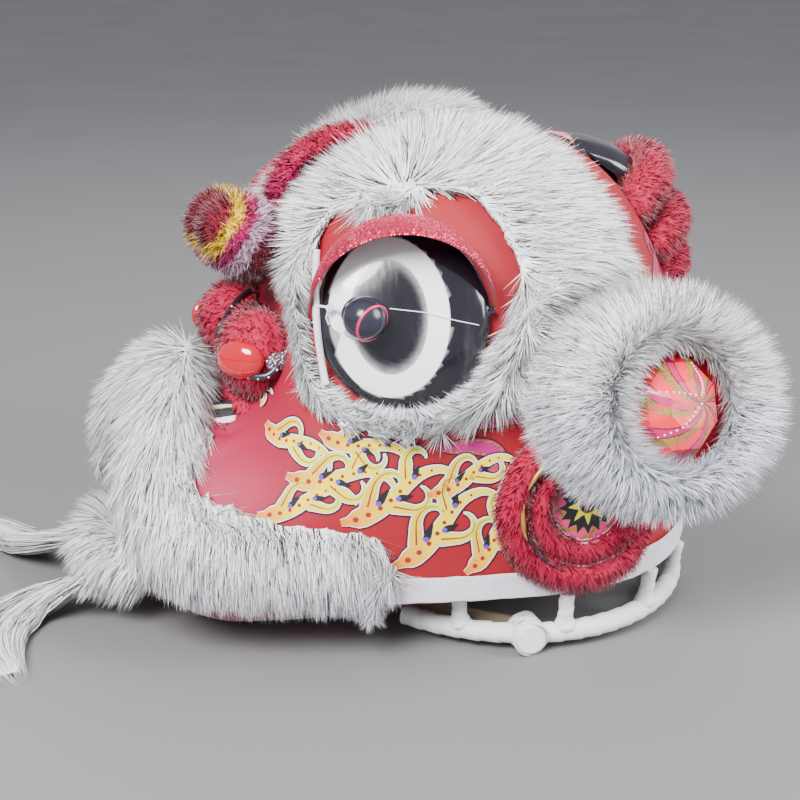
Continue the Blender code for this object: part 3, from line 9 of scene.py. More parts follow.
import json
import logging
import math
from dataclasses import dataclass, field
from enum import Enum
from typing import Callable, Sequence

import bpy
import numpy as np
from mathutils import Matrix, Vector
from mathutils.bvhtree import BVHTree
from mathutils.kdtree import KDTree

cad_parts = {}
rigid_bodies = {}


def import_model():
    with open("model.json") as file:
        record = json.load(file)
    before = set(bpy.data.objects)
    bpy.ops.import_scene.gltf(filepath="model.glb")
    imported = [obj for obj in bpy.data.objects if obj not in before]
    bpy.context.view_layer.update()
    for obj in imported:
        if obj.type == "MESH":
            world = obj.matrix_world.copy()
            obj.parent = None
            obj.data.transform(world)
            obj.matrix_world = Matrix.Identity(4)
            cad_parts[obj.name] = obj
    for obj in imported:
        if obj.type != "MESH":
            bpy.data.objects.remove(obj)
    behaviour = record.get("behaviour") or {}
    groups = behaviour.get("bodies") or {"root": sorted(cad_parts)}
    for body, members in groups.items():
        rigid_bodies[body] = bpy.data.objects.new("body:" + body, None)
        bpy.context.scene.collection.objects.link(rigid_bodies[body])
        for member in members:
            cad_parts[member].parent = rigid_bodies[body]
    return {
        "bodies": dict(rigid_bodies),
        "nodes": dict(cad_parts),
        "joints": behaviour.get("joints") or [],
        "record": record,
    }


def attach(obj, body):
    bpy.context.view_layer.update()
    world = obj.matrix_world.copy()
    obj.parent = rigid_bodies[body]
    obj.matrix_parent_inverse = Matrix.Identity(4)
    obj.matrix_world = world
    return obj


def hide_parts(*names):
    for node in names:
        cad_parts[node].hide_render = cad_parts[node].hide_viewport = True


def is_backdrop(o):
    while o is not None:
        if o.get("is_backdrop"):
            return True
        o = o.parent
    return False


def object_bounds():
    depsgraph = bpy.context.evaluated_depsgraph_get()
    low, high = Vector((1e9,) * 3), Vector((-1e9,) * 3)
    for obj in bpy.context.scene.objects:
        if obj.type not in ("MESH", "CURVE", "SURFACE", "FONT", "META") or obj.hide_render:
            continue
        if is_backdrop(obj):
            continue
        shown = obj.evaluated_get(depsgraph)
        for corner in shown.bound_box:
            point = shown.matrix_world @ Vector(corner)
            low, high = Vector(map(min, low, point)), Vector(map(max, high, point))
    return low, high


LOG = logging.getLogger("lion_head")

Array = np.ndarray
Colour = tuple[float, float, float]
Flow = Callable[[Array, Array], Array]
Tint = Callable[[Array, Array], Array]
Keep = Callable[[Array, Array], Array]

# The head stands this far back, so that its box is centred on the frame
HEAD_SHIFT = Vector((0.0, 0.0812, 0.0))
DOWN = np.array((0.0, 0.0, -1.0))

EYE_NORMAL = Vector((0.93, -0.24, 0.28)).normalized()
EYE_AIM = Vector((0.185, -0.047, 0.348)) + HEAD_SHIFT
CHEEK_NORMAL = Vector((0.985, 0.13, 0.11)).normalized()
CHEEK_AIM = Vector((0.245, 0.128, 0.1575)) + HEAD_SHIFT
EAR_NORMAL = Vector((0.93, 0.14, 0.34)).normalized()
EAR_AIM = Vector((0.220, 0.170, 0.252)) + HEAD_SHIFT


class Side(Enum):
    """The two sides of the head."""

    LEFT = 1
    RIGHT = -1

    @property
    def word(self) -> str:
        """The side's name as the solids spell it."""
        return self.name.lower()


class Body(str, Enum):
    """The moving bodies of the head."""

    HEAD = "head"
    JAW = "jaw"
    EAR_LEFT = "ear_left"
    EAR_RIGHT = "ear_right"
    LID_LEFT = "eyelid_left"
    LID_RIGHT = "eyelid_right"


def unit(rows: Array) -> Array:
    """Gives each row the length one."""
    return rows / np.maximum(np.linalg.norm(rows, axis=-1, keepdims=True), 1e-9)


def step_in(low: float, high: float, value: Array) -> Array:
    """Runs smoothly from 0 at low to 1 at high."""
    share = np.clip((value - low) / (high - low), 0.0, 1.0)
    return share * share * (3 - 2 * share)


# Objects


def deselect() -> None:
    """Leaves edit mode and lets go of every object."""
    if bpy.context.object is not None and bpy.context.object.mode != "OBJECT":
        bpy.ops.object.mode_set(mode="OBJECT")
    bpy.ops.object.select_all(action="DESELECT")


def activate(obj: bpy.types.Object) -> bpy.types.Object:
    """Selects one object alone and makes it the active one."""
    deselect()
    obj.select_set(True)
    bpy.context.view_layer.objects.active = obj
    return obj


def named(name: str) -> bpy.types.Object:
    """Names the object that an operator has just added, and returns it."""
    obj = bpy.context.object
    obj.name = name
    obj.data.name = name
    return obj


def settle(obj: bpy.types.Object) -> bpy.types.Object:
    """Puts the object's place into its mesh."""
    bpy.context.view_layer.update()
    obj.data.transform(obj.matrix_world)
    obj.matrix_world = Matrix.Identity(4)
    return obj


def apply_all(obj: bpy.types.Object) -> bpy.types.Object:
    """Applies every modifier of the object."""
    activate(obj)
    for modifier in list(obj.modifiers):
        bpy.ops.object.modifier_apply(modifier=modifier.name)
    return obj


def edit_all(obj: bpy.types.Object) -> None:
    """Opens the object in edit mode with all of it selected."""
    activate(obj)
    bpy.ops.object.mode_set(mode="EDIT")
    bpy.ops.mesh.select_all(action="SELECT")


def close_edit() -> None:
    """Goes back to object mode."""
    bpy.ops.object.mode_set(mode="OBJECT")


def join(pieces: Sequence[bpy.types.Object], name: str) -> bpy.types.Object:
    """Joins several objects into one.

    Args:
        pieces: the objects; the first one keeps its place in the scene.
        name: the joined object's name.

    Returns:
        The joined object.
    """
    deselect()
    for piece in pieces:
        piece.select_set(True)
    bpy.context.view_layer.objects.active = pieces[0]
    if len(pieces) > 1:
        bpy.ops.object.join()
    pieces[0].name = name
    pieces[0].data.name = name
    return pieces[0]


def new_mesh(name: str, points: Array, faces: Sequence[Sequence[int]]) -> bpy.types.Object:
    """An object from points and faces, linked to the scene."""
    mesh = bpy.data.meshes.new(name)
    mesh.from_pydata(np.asarray(points).tolist(), [], faces)
    mesh.update()
    obj = bpy.data.objects.new(name, mesh)
    bpy.context.scene.collection.objects.link(obj)
    return obj


def points_of(obj: bpy.types.Object) -> Array:
    """The object's vertices as rows."""
    rows = np.empty(len(obj.data.vertices) * 3, np.float32)
    obj.data.vertices.foreach_get("co", rows)
    return rows.reshape(-1, 3).astype(float)


def normals_of(obj: bpy.types.Object) -> Array:
    """The object's vertex normals as rows."""
    rows = np.empty(len(obj.data.vertices) * 3, np.float32)
    obj.data.vertices.foreach_get("normal", rows)
    return rows.reshape(-1, 3).astype(float)


def set_points(obj: bpy.types.Object, rows: Array) -> None:
    """Moves the object's vertices to the given rows."""
    obj.data.vertices.foreach_set("co", rows.astype(np.float32).ravel())
    obj.data.update()


def set_floats(obj: bpy.types.Object, name: str, values: Array) -> None:
    """Keeps one number for each vertex under a name."""
    attribute = obj.data.attributes.get(name) or obj.data.attributes.new(name, "FLOAT", "POINT")
    attribute.data.foreach_set("value", np.asarray(values, np.float32).ravel())


def set_colours(obj: bpy.types.Object, name: str, rows: Array) -> None:
    """Keeps one colour for each vertex under a name."""
    attribute = obj.data.attributes.get(name)
    attribute = attribute or obj.data.attributes.new(name, "FLOAT_COLOR", "POINT")
    full = np.ones((len(obj.data.vertices), 4), np.float32)
    full[:, :3] = rows
    attribute.data.foreach_set("color", full.ravel())


def mirrored(obj: bpy.types.Object, name: str) -> bpy.types.Object:
    """A copy of the object on the head's other side, with its own mesh."""
    twin = bpy.data.objects.new(name, obj.data.copy())
    twin.data.name = name
    bpy.context.scene.collection.objects.link(twin)
    twin.data.transform(Matrix.Diagonal((-1.0, 1.0, 1.0, 1.0)))
    twin.data.flip_normals()
    return twin


def smooth(obj: bpy.types.Object, angle_deg: float = 180.0) -> bpy.types.Object:
    """Shades the object smooth across edges flatter than the angle."""
    activate(obj)
    if angle_deg >= 180.0:
        bpy.ops.object.shade_smooth()
    else:
        bpy.ops.object.shade_smooth_by_angle(angle=math.radians(angle_deg))
    return obj


def tube(name: str, path: Sequence[Sequence[float]], radius: float, sides: int = 8,
         closed: bool = False, widths: Sequence[float] = ()) -> bpy.types.Object:
    """A round tube along a path.

    Args:
        name: the tube's name.
        path: the points that it follows.
        radius: its radius in metres.
        sides: how many sides its section has.
        closed: whether its end meets its start.
        widths: a share of the radius at each point, if it changes.

    Returns:
        The tube as a mesh.
    """
    curve = bpy.data.curves.new(name, "CURVE")
    curve.dimensions = "3D"
    curve.bevel_depth = radius
    curve.bevel_resolution = max(0, sides // 2 - 2)
    curve.use_fill_caps = not closed
    spline = curve.splines.new("POLY")
    spline.points.add(len(path) - 1)
    for index, (point, place) in enumerate(zip(spline.points, path)):
        point.co = (*place, 1.0)
        if len(widths):
            point.radius = widths[index]
    spline.use_cyclic_u = closed
    obj = bpy.data.objects.new(name, curve)
    bpy.context.scene.collection.objects.link(obj)
    activate(obj)
    bpy.ops.object.convert(target="MESH")
    edit_all(bpy.context.object)
    bpy.ops.mesh.remove_doubles(threshold=1e-6)
    bpy.ops.mesh.normals_make_consistent(inside=False)
    close_edit()
    return named(name)


def rounded_path(rows: Sequence[Sequence[float]], count: int, closed: bool = False) -> Array:
    """Evenly spaced points on a soft curve through the given ones."""
    table = np.asarray(rows, float)
    if closed:
        table = np.vstack([table[-1:], table, table[:2]])
    else:
        table = np.vstack([2 * table[0] - table[1], table, 2 * table[-1] - table[-2]])
    fine = []
    for i in range(1, len(table) - 2):
        p0, p1, p2, p3 = table[i - 1:i + 3]
        for t in np.linspace(0, 1, 24, endpoint=False):
            fine.append(0.5 * (2 * p1 + (p2 - p0) * t + (2 * p0 - 5 * p1 + 4 * p2 - p3) * t * t
                               + (3 * p1 - p0 - 3 * p2 + p3) * t ** 3))
    if not closed:
        fine.append(table[-2])
    fine = np.array(fine)
    if closed:
        fine = np.vstack([fine, fine[:1]])
    run = np.concatenate([[0.0], np.cumsum(np.linalg.norm(np.diff(fine[:, :3], axis=0), axis=1))])
    places = np.linspace(0, run[-1], count, endpoint=not closed)
    return np.column_stack([np.interp(places, run, fine[:, k]) for k in range(fine.shape[1])])


class Head:
    """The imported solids, and where a new piece sits on them."""

    def __init__(self) -> None:
        """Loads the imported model."""
        self.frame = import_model()
        self.cad_box = [list(corner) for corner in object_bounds()]
        shell = self.frame["nodes"]["head_shell"]
        self.shell_tree = self.tree_of(shell)

    @staticmethod
    def tree_of(obj: bpy.types.Object) -> BVHTree:
        """A search tree over the object's faces."""
        faces = [tuple(face.vertices) for face in obj.data.polygons]
        return BVHTree.FromPolygons([v.co for v in obj.data.vertices], faces)

    def node(self, name: str) -> bpy.types.Object:
        """The solid of that name."""
        return self.frame["nodes"][name]

    def copy_of(self, node: str, name: str) -> bpy.types.Object:
        """A welded copy of a solid's mesh, free to be shaped."""
        obj = bpy.data.objects.new(name, self.node(node).data.copy())
        obj.data.name = name
        obj.data.materials.clear()
        bpy.context.scene.collection.objects.link(obj)
        edit_all(obj)
        bpy.ops.mesh.customdata_custom_splitnormals_clear()
        bpy.ops.mesh.remove_doubles(threshold=1e-5)
        close_edit()
        return obj

    def on_shell(self, aim: Vector, normal: Vector, lift: float = 0.0) -> Vector:
        """The shell's outer point under an aim, seen against the normal."""
        hit, _, _, _ = self.shell_tree.ray_cast(aim + normal * 0.4, -normal)
        return (hit if hit is not None else aim) + normal * lift


def plane_axes(normal: Vector) -> tuple[Vector, Vector]:
    """The backward and upward directions in a side feature's plane."""
    back = (Vector((0.0, 1.0, 0.0)) - normal * normal.y).normalized()
    up = normal.cross(back)
    return back, up if up.z > 0 else -up


def turned_to(back: Vector, up: Vector, normal: Vector, centre: Vector) -> Matrix:
    """The placing matrix of a feature: its x runs back, its y up and its z outward."""
    turn = Matrix((back, up, normal)).transposed().to_4x4()
    return Matrix.Translation(centre) @ turn


def dress(obj: bpy.types.Object, material: bpy.types.Material, slot: str, body: Body,
          *nodes: str) -> bpy.types.Object:
    """Gives a finished piece its material, body and the solids that it stands for.

    Args:
        obj: the piece.
        material: its material.
        slot: the record's slot that the finish belongs to; not used.
        body: the body that it rides on.
        *nodes: the solids that it replaces.

    Returns:
        The piece.
    """
    if material.name not in [m.name for m in obj.data.materials if m]:
        obj.data.materials.clear()
        obj.data.materials.append(material)
    if nodes:
        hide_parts(*nodes)
    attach(obj, body.value)
    LOG.info("%s: %d faces on %s", obj.name, len(obj.data.polygons), body.value)
    return obj


# Materials


class Graph:
    """Adds nodes to one tree and joins them, so that a finish reads in few lines."""

    def __init__(self, tree: bpy.types.NodeTree) -> None:
        """Works on the given tree."""
        self.tree = tree

    def node(self, kind: str, **settings: object) -> bpy.types.Node:
        """Adds a node with its settings."""
        made = self.tree.nodes.new(kind)
        for key, value in settings.items():
            setattr(made, key, value)
        return made

    def put(self, socket: bpy.types.NodeSocket, value: object) -> None:
        """Sets a socket, or links it where the value is another node's output."""
        if isinstance(value, bpy.types.NodeSocket):
            self.tree.links.new(value, socket)
        elif isinstance(value, (tuple, list)) and len(value) == 3 and socket.type == "RGBA":
            socket.default_value = (*value, 1.0)
        else:
            socket.default_value = value

    def math(self, operation: str, *values: object, clamp: bool = False) -> bpy.types.NodeSocket:
        """One sum of numbers."""
        made = self.node("ShaderNodeMath", operation=operation, use_clamp=clamp)
        for socket, value in zip(made.inputs, values):
            self.put(socket, value)
        return made.outputs[0]

    def mix(self, share: object, first: object, second: object) -> bpy.types.NodeSocket:
        """The first colour where the share is 0, and the second where it is 1."""
        made = self.node("ShaderNodeMix", data_type="RGBA")
        self.put(made.inputs["Factor"], share)
        self.put(made.inputs[6], first)
        self.put(made.inputs[7], second)
        return made.outputs[2]

    def kept(self, name: str) -> bpy.types.NodeSocket:
        """A number that the mesh keeps under a name."""
        return self.node("ShaderNodeAttribute", attribute_name=name).outputs["Fac"]

    def kept_colour(self, name: str) -> bpy.types.NodeSocket:
        """A colour that the mesh keeps under a name."""
        return self.node("ShaderNodeAttribute", attribute_name=name).outputs["Color"]

    def inside(self, distance: object, edge: float, soft: float = 0.0002) -> bpy.types.NodeSocket:
        """1 where the distance is over the edge and 0 under it, with a narrow soft line."""
        low, high = edge - soft, edge + soft
        shifted = self.math("SUBTRACT", distance, low)
        return self.math("DIVIDE", shifted, high - low, clamp=True)

    def place(self, matrix: Matrix | None = None) -> bpy.types.NodeSocket:
        """Object coordinates, or those of a feature placed by a matrix."""
        coordinates = self.node("ShaderNodeTexCoord").outputs["Object"]
        if matrix is None:
            return coordinates
        made = self.node("ShaderNodeMapping", vector_type="POINT")
        inverse = matrix.inverted()
        made.inputs["Location"].default_value = inverse.to_translation()
        made.inputs["Rotation"].default_value = inverse.to_euler()
        self.put(made.inputs["Vector"], coordinates)
        return made.outputs["Vector"]

    def noise(self, vector: object, scale: float, detail: float = 2.0,
              stretch: Colour | None = None) -> bpy.types.NodeSocket:
        """Cloudy noise, stretched where asked."""
        if stretch is not None:
            mapping = self.node("ShaderNodeMapping")
            mapping.inputs["Scale"].default_value = stretch
            self.put(mapping.inputs["Vector"], vector)
            vector = mapping.outputs["Vector"]
        made = self.node("ShaderNodeTexNoise")
        made.inputs["Scale"].default_value = scale
        made.inputs["Detail"].default_value = detail
        self.put(made.inputs["Vector"], vector)
        return made.outputs["Fac"]

    def bump(self, height: object, strength: float, distance: float) -> bpy.types.NodeSocket:
        """A normal from heights."""
        made = self.node("ShaderNodeBump")
        made.inputs["Strength"].default_value = strength
        made.inputs["Distance"].default_value = distance
        self.put(made.inputs["Height"], height)
        return made.outputs["Normal"]


def new_material(name: str) -> tuple[bpy.types.Material, Graph, bpy.types.Node]:
    """An empty material with its tree and its Principled shader."""
    material = bpy.data.materials.new(name)
    material.use_nodes = True
    shader = material.node_tree.nodes["Principled BSDF"]
    return material, Graph(material.node_tree), shader


def woven_group() -> bpy.types.NodeTree:
    """The shared weave: the crossing of warp and weft over a surface, as a height."""
    tree = bpy.data.node_groups.get("woven") or bpy.data.node_groups.new("woven", "ShaderNodeTree")
    if tree.nodes:
        return tree
    tree.interface.new_socket("Vector", in_out="INPUT", socket_type="NodeSocketVector")
    tree.interface.new_socket("Scale", in_out="INPUT", socket_type="NodeSocketFloat")
    tree.interface.new_socket("Height", in_out="OUTPUT", socket_type="NodeSocketFloat")
    graph = Graph(tree)
    given = graph.node("NodeGroupInput")
    result = graph.node("NodeGroupOutput")
    waves = []
    for direction in ("X", "Y", "Z"):
        wave = graph.node("ShaderNodeTexWave", bands_direction=direction)
        graph.put(wave.inputs["Vector"], given.outputs["Vector"])
        graph.put(wave.inputs["Scale"], given.outputs["Scale"])
        waves.append(wave.outputs["Fac"])
    first = graph.math("MULTIPLY", waves[0], waves[2])
    graph.put(result.inputs["Height"], graph.math("ADD", first, waves[1]))
    return tree


def glitter_group() -> bpy.types.NodeTree:
    """The shared glitter: which specks of a paint catch the light."""
    name = "glitter"
    tree = bpy.data.node_groups.get(name) or bpy.data.node_groups.new(name, "ShaderNodeTree")
    if tree.nodes:
        return tree
    tree.interface.new_socket("Scale", in_out="INPUT", socket_type="NodeSocketFloat")
    tree.interface.new_socket("Specks", in_out="OUTPUT", socket_type="NodeSocketFloat")
    graph = Graph(tree)
    given = graph.node("NodeGroupInput")
    result = graph.node("NodeGroupOutput")
    cells = graph.node("ShaderNodeTexVoronoi")
    graph.put(cells.inputs["Vector"], graph.node("ShaderNodeTexCoord").outputs["Object"])
    graph.put(cells.inputs["Scale"], given.outputs["Scale"])
    split = graph.node("ShaderNodeSeparateColor")
    graph.put(split.inputs["Color"], cells.outputs["Color"])
    graph.put(result.inputs["Specks"], graph.math("GREATER_THAN", split.outputs[0], 0.55))
    return tree


@dataclass(frozen=True)
class FurFinish:
    """Soft hair, darker at its roots, its colour kept on the strands."""

    name: str
    root_shade: float = 0.55
    roughness: float = 0.7
    sheen: float = 0.25
    tone_range: float = 0.16

    def build(self) -> bpy.types.Material:
        """Makes the material."""
        material, graph, shader = new_material(self.name)
        tint = graph.kept_colour("tint")
        along = graph.kept("along")
        tone = graph.kept("tone")
        lit = graph.math("MULTIPLY_ADD", along, 1.0 - self.root_shade, self.root_shade, clamp=True)
        varied = graph.math("MULTIPLY_ADD", tone, self.tone_range, 1.0 - self.tone_range / 2)
        shade = graph.math("MULTIPLY", lit, varied)
        made = graph.node("ShaderNodeMix", data_type="RGBA", blend_type="MULTIPLY")
        made.inputs["Factor"].default_value = 1.0
        graph.put(made.inputs[6], tint)
        graph.put(made.inputs[7], shade)
        graph.put(shader.inputs["Base Color"], made.outputs[2])
        shader.inputs["Roughness"].default_value = self.roughness
        shader.inputs["Sheen Weight"].default_value = self.sheen
        shader.inputs["Specular IOR Level"].default_value = 0.25
        return material


@dataclass(frozen=True)
class PlainFinish:
    """A one-colour surface with cloudy wear in its colour, gloss and height."""

    name: str
    colour: Colour
    second: Colour
    roughness: float = 0.5
    metallic: float = 0.0
    coat: float = 0.0
    cloud_scale: float = 30.0
    stretch: Colour = (1.0, 1.0, 1.0)
    bump: float = 0.1
    bump_depth: float = 0.0005
    sheen: float = 0.0

    def build(self) -> bpy.types.Material:
        """Makes the material."""
        material, graph, shader = new_material(self.name)
        cloud = graph.noise(graph.place(), self.cloud_scale, 4.0, self.stretch)
        graph.put(shader.inputs["Base Color"], graph.mix(cloud, self.colour, self.second))
        rough = graph.math("MULTIPLY_ADD", cloud, 0.2, self.roughness - 0.1, clamp=True)
        graph.put(shader.inputs["Roughness"], rough)
        graph.put(shader.inputs["Normal"], graph.bump(cloud, self.bump, self.bump_depth))
        shader.inputs["Metallic"].default_value = self.metallic
        shader.inputs["Coat Weight"].default_value = self.coat
        shader.inputs["Sheen Weight"].default_value = self.sheen
        return material


@dataclass(frozen=True)
class WovenFinish:
    """Tape, ribbon or cloth with its threads in relief."""

    name: str
    colour: Colour
    second: Colour
    thread: float = 300.0
    roughness: float = 0.85
    sheen: float = 0.2
    relief: float = 0.35

    def build(self) -> bpy.types.Material:
        """Makes the material."""
        material, graph, shader = new_material(self.name)
        place = graph.place()
        weave = graph.node("ShaderNodeGroup", node_tree=woven_group())
        graph.put(weave.inputs["Vector"], place)
        weave.inputs["Scale"].default_value = self.thread
        cloud = graph.noise(place, 22.0, 3.0)
        ground = graph.mix(cloud, self.colour, self.second)
        shadow = graph.math("MULTIPLY_ADD", weave.outputs["Height"], 0.12, 0.86, clamp=True)
        made = graph.node("ShaderNodeMix", data_type="RGBA", blend_type="MULTIPLY")
        made.inputs["Factor"].default_value = 1.0
        graph.put(made.inputs[6], ground)
        graph.put(made.inputs[7], shadow)
        graph.put(shader.inputs["Base Color"], made.outputs[2])
        normal = graph.bump(weave.outputs["Height"], self.relief, 0.0004)
        graph.put(shader.inputs["Normal"], normal)
        shader.inputs["Roughness"].default_value = self.roughness
        shader.inputs["Sheen Weight"].default_value = self.sheen
        return material


WHITE: Colour = (0.90, 0.89, 0.90)
# A cooler, darker white for fur low down: a painted shade.
SHADED_WHITE: Colour = (0.88, 0.88, 0.97)
FUR_WHITE: Colour = (0.97, 0.96, 0.96)
CRIMSON: Colour = (0.46, 0.001, 0.045)
DEEP_CRIMSON: Colour = (0.16, 0.001, 0.014)
HOT_PINK: Colour = (0.50, 0.002, 0.10)
LIME: Colour = (0.58, 0.72, 0.02)
YELLOW: Colour = (0.95, 0.72, 0.01)
ORANGE: Colour = (0.75, 0.17, 0.005)
RED: Colour = (0.30, 0.0005, 0.008)
VIOLET: Colour = (0.10, 0.04, 0.50)
GOLD: Colour = (0.42, 0.22, 0.035)
BLACK: Colour = (0.006, 0.005, 0.010)
LILAC: Colour = (0.80, 0.76, 0.88)


# Fur


@dataclass(frozen=True)
class FurCut:
    """How one kind of fur grows."""

    strands: int
    length: float
    width: float
    lift: float
    droop: float = 0.3
    clumps: int = 400
    clumping: float = 0.5
    segments: int = 3
    spread: float = 0.35
    mess: float = 0.18
    sink: float = 0.004


class Fur:
    """Grows strands over a padded form and joins them to it."""

    SKIN_TONE = 0.5

    def __init__(self, base: bpy.types.Object, cut: FurCut, flow: Flow, tint: Tint,
                 keep: Keep | None = None, seed: int = 1, trim: Keep | None = None) -> None:
        """Takes the form, the fur's cut, its lie and its colour.

        Args:
            base: the form under the fur.
            cut: the fur's sizes.
            flow: gives the direction that the fur lies in, from places and normals.
            tint: gives the fur's colour, from places and normals.
            keep: gives where fur grows, from places and normals.
            seed: the seed of its random draws.
            trim: gives a share of the fur's length, from places and normals.
        """
        self.base = base
        self.cut = cut
        self.flow = flow
        self.tint = tint
        self.keep = keep
        self.trim = trim
        self.rng = np.random.default_rng(seed)

    def roots(self) -> tuple[Array, Array]:
        """Places and normals spread evenly over the form."""
        mesh = self.base.data
        mesh.calc_loop_triangles()
        corners = np.empty(len(mesh.loop_triangles) * 3, np.int32)
        mesh.loop_triangles.foreach_get("vertices", corners)
        corners = corners.reshape(-1, 3)
        points, normals = points_of(self.base), normals_of(self.base)
        p = points[corners]
        areas = np.linalg.norm(np.cross(p[:, 1] - p[:, 0], p[:, 2] - p[:, 0]), axis=1)
        if self.keep is not None:
            faces_on = self.keep(p.mean(axis=1), unit(normals[corners].mean(axis=1)))
            areas = areas * faces_on
        chosen = self.rng.choice(len(areas), self.cut.strands, p=areas / areas.sum())
        first = self.rng.random((len(chosen), 1))
        second = self.rng.random((len(chosen), 1))
        fold = first + second > 1
        first, second = np.where(fold, 1 - first, first), np.where(fold, 1 - second, second)
        weights = np.hstack([1 - first - second, first, second])[:, :, None]
        place = (points[corners[chosen]] * weights).sum(axis=1)
        normal = unit((normals[corners[chosen]] * weights).sum(axis=1))
        return place, normal

    def paths(self) -> tuple[Array, Array]:
        """The strands' points, level by level, and the normals at their roots."""
        cut = self.cut
        root, normal = self.roots()
        flow = self.flow(root, normal)
        flow = unit(flow - normal * (flow * normal).sum(axis=1, keepdims=True))
        mess = self.rng.normal(0.0, cut.mess, (len(root), 3))
        start = unit(flow * (1 - cut.lift) + normal * cut.lift + mess)
        finish = unit(start + DOWN * cut.droop + flow * cut.droop)
        length = cut.length * (1 + self.rng.uniform(-cut.spread, cut.spread, (len(root), 1)))
        if self.trim is not None:
            length = length * self.trim(root, normal)[:, None]
        levels = [root - normal * cut.sink * 0.25]
        for k in range(cut.segments):
            share = (k + 0.5) / cut.segments
            heading = unit(start * (1 - share) + finish * share)
            levels.append(levels[-1] + heading * length / cut.segments)
        paths = np.stack(levels, axis=1)
        return self.clumped(paths), normal

    def clumped(self, paths: Array) -> Array:
        """Draws the strands' tips together into locks."""
        cut = self.cut
        leaders = self.rng.choice(len(paths), min(cut.clumps, len(paths)), replace=False)
        tree = KDTree(len(leaders))
        for index, leader in enumerate(leaders):
            tree.insert(paths[leader, 1], index)
        tree.balance()
        nearest = np.array([tree.find(p)[1] for p in paths[:, 1]])
        shares = (np.arange(paths.shape[1]) / cut.segments) ** 1.4 * cut.clumping
        pull = self.rng.uniform(0.55, 1.0, (len(paths), 1, 1))
        target = paths[leaders[nearest]]
        return paths + (target - paths) * shares[None, :, None] * pull

    def grow(self, name: str) -> bpy.types.Object:
        """Makes the strands and joins them to their form.

        Args:
            name: the finished piece's name.

        Returns:
            The form and its fur as one object.
        """
        paths, normal = self.paths()
        strands = strand_mesh(name, paths, self.cut.width, normal, self.rng)
        colours = self.tint(paths[:, 0], normal)
        levels = 2 * self.cut.segments + 1
        set_colours(strands, "tint", np.repeat(colours, levels, axis=0))
        self.paint_form()
        return join([self.base, strands], name)

    def paint_form(self) -> None:
        """Gives the form under the fur the colour of the fur's roots."""
        points, normals = points_of(self.base), normals_of(self.base)
        set_colours(self.base, "tint", self.tint(points, normals))
        set_floats(self.base, "along", np.full(len(points), 0.6))
        set_floats(self.base, "tone", np.full(len(points), self.SKIN_TONE))


def strand_mesh(name: str, paths: Array, width: float, normal: Array,
                rng: np.random.Generator) -> bpy.types.Object:
    """Flat tapering strands along many short paths, in one mesh.

    Args:
        name: the mesh's name.
        paths: strands by levels by three.
        width: a strand's width at its root.
        normal: the direction that each strand is lit from.
        rng: the source of its random draws.

    Returns:
        The strands as one object, which keeps along and tone for its material.
    """
    count, levels, _ = paths.shape
    heading = unit(paths[:, 1:] - paths[:, :-1])
    across = unit(np.cross(heading, rng.normal(0, 1, (count, 1, 3)) + normal[:, None] * 0.6))
    shares = np.arange(levels - 1) / (levels - 1)
    half = 0.5 * width * (1 - 0.75 * shares)[None, :, None] * rng.uniform(0.7, 1.3, (count, 1, 1))
    per = 2 * (levels - 1) + 1
    points = np.empty((count, per, 3))
    points[:, 0:per - 1:2] = paths[:, :-1] - across * half
    points[:, 1:per - 1:2] = paths[:, :-1] + across * half
    points[:, -1] = paths[:, -1]
    quads = []
    for k in range(levels - 2):
        quads.append([2 * k, 2 * k + 1, 2 * k + 3, 2 * k + 2])
    starts = (np.arange(count) * per)[:, None]
    quad_rows = (np.array(quads, int).reshape(1, -1) + starts).reshape(-1, 4)
    tip_rows = (np.array([[per - 3, per - 2, per - 1]]) + starts).reshape(-1, 3)
    mesh = bpy.data.meshes.new(name)
    mesh.vertices.add(count * per)
    mesh.vertices.foreach_set("co", points.astype(np.float32).ravel())
    corners = np.concatenate([quad_rows.ravel(), tip_rows.ravel()]).astype(np.int32)
    totals = np.concatenate([np.full(len(quad_rows), 4), np.full(len(tip_rows), 3)])
    firsts = np.concatenate([[0], np.cumsum(totals)[:-1]]).astype(np.int32)
    mesh.loops.add(len(corners))
    mesh.loops.foreach_set("vertex_index", corners)
    mesh.polygons.add(len(totals))
    mesh.polygons.foreach_set("loop_start", firsts)
    mesh.update(calc_edges=True)
    obj = bpy.data.objects.new(name, mesh)
    bpy.context.scene.collection.objects.link(obj)
    along = np.concatenate([np.repeat(shares, 2), [1.0]])
    set_floats(obj, "along", np.tile(along, count))
    set_floats(obj, "tone", np.repeat(rng.random(count), per))
    lit = unit(np.repeat(normal, per, axis=0) + 0.22 * rng.normal(0, 1, (count * per, 3)))
    mesh.polygons.foreach_set("use_smooth", np.ones(len(totals), bool))
    mesh.normals_split_custom_set_from_vertices(lit.tolist())
    return obj


def one_colour(colour: Colour, other: Colour | None = None, low: float = 0.0, high: float = 1.0,
               axis: int = 2) -> Tint:
    """A tint of one colour, or one that runs to another along an axis."""
    def tint(places: Array, normals: Array) -> Array:
        if other is None:
            return np.tile(np.array(colour), (len(places), 1))
        share = step_in(low, high, places[:, axis])[:, None]
        return np.array(colour) * (1 - share) + np.array(other) * share
    return tint


def away_from(centre: Sequence[float], down: float = 0.0) -> Flow:
    """Fur that lies away from a point, and down by a share."""
    middle = np.array(centre, float)

    def flow(places: Array, normals: Array) -> Array:
        return unit(places - middle) * (1 - down) + DOWN * down
    return flow


# Paint


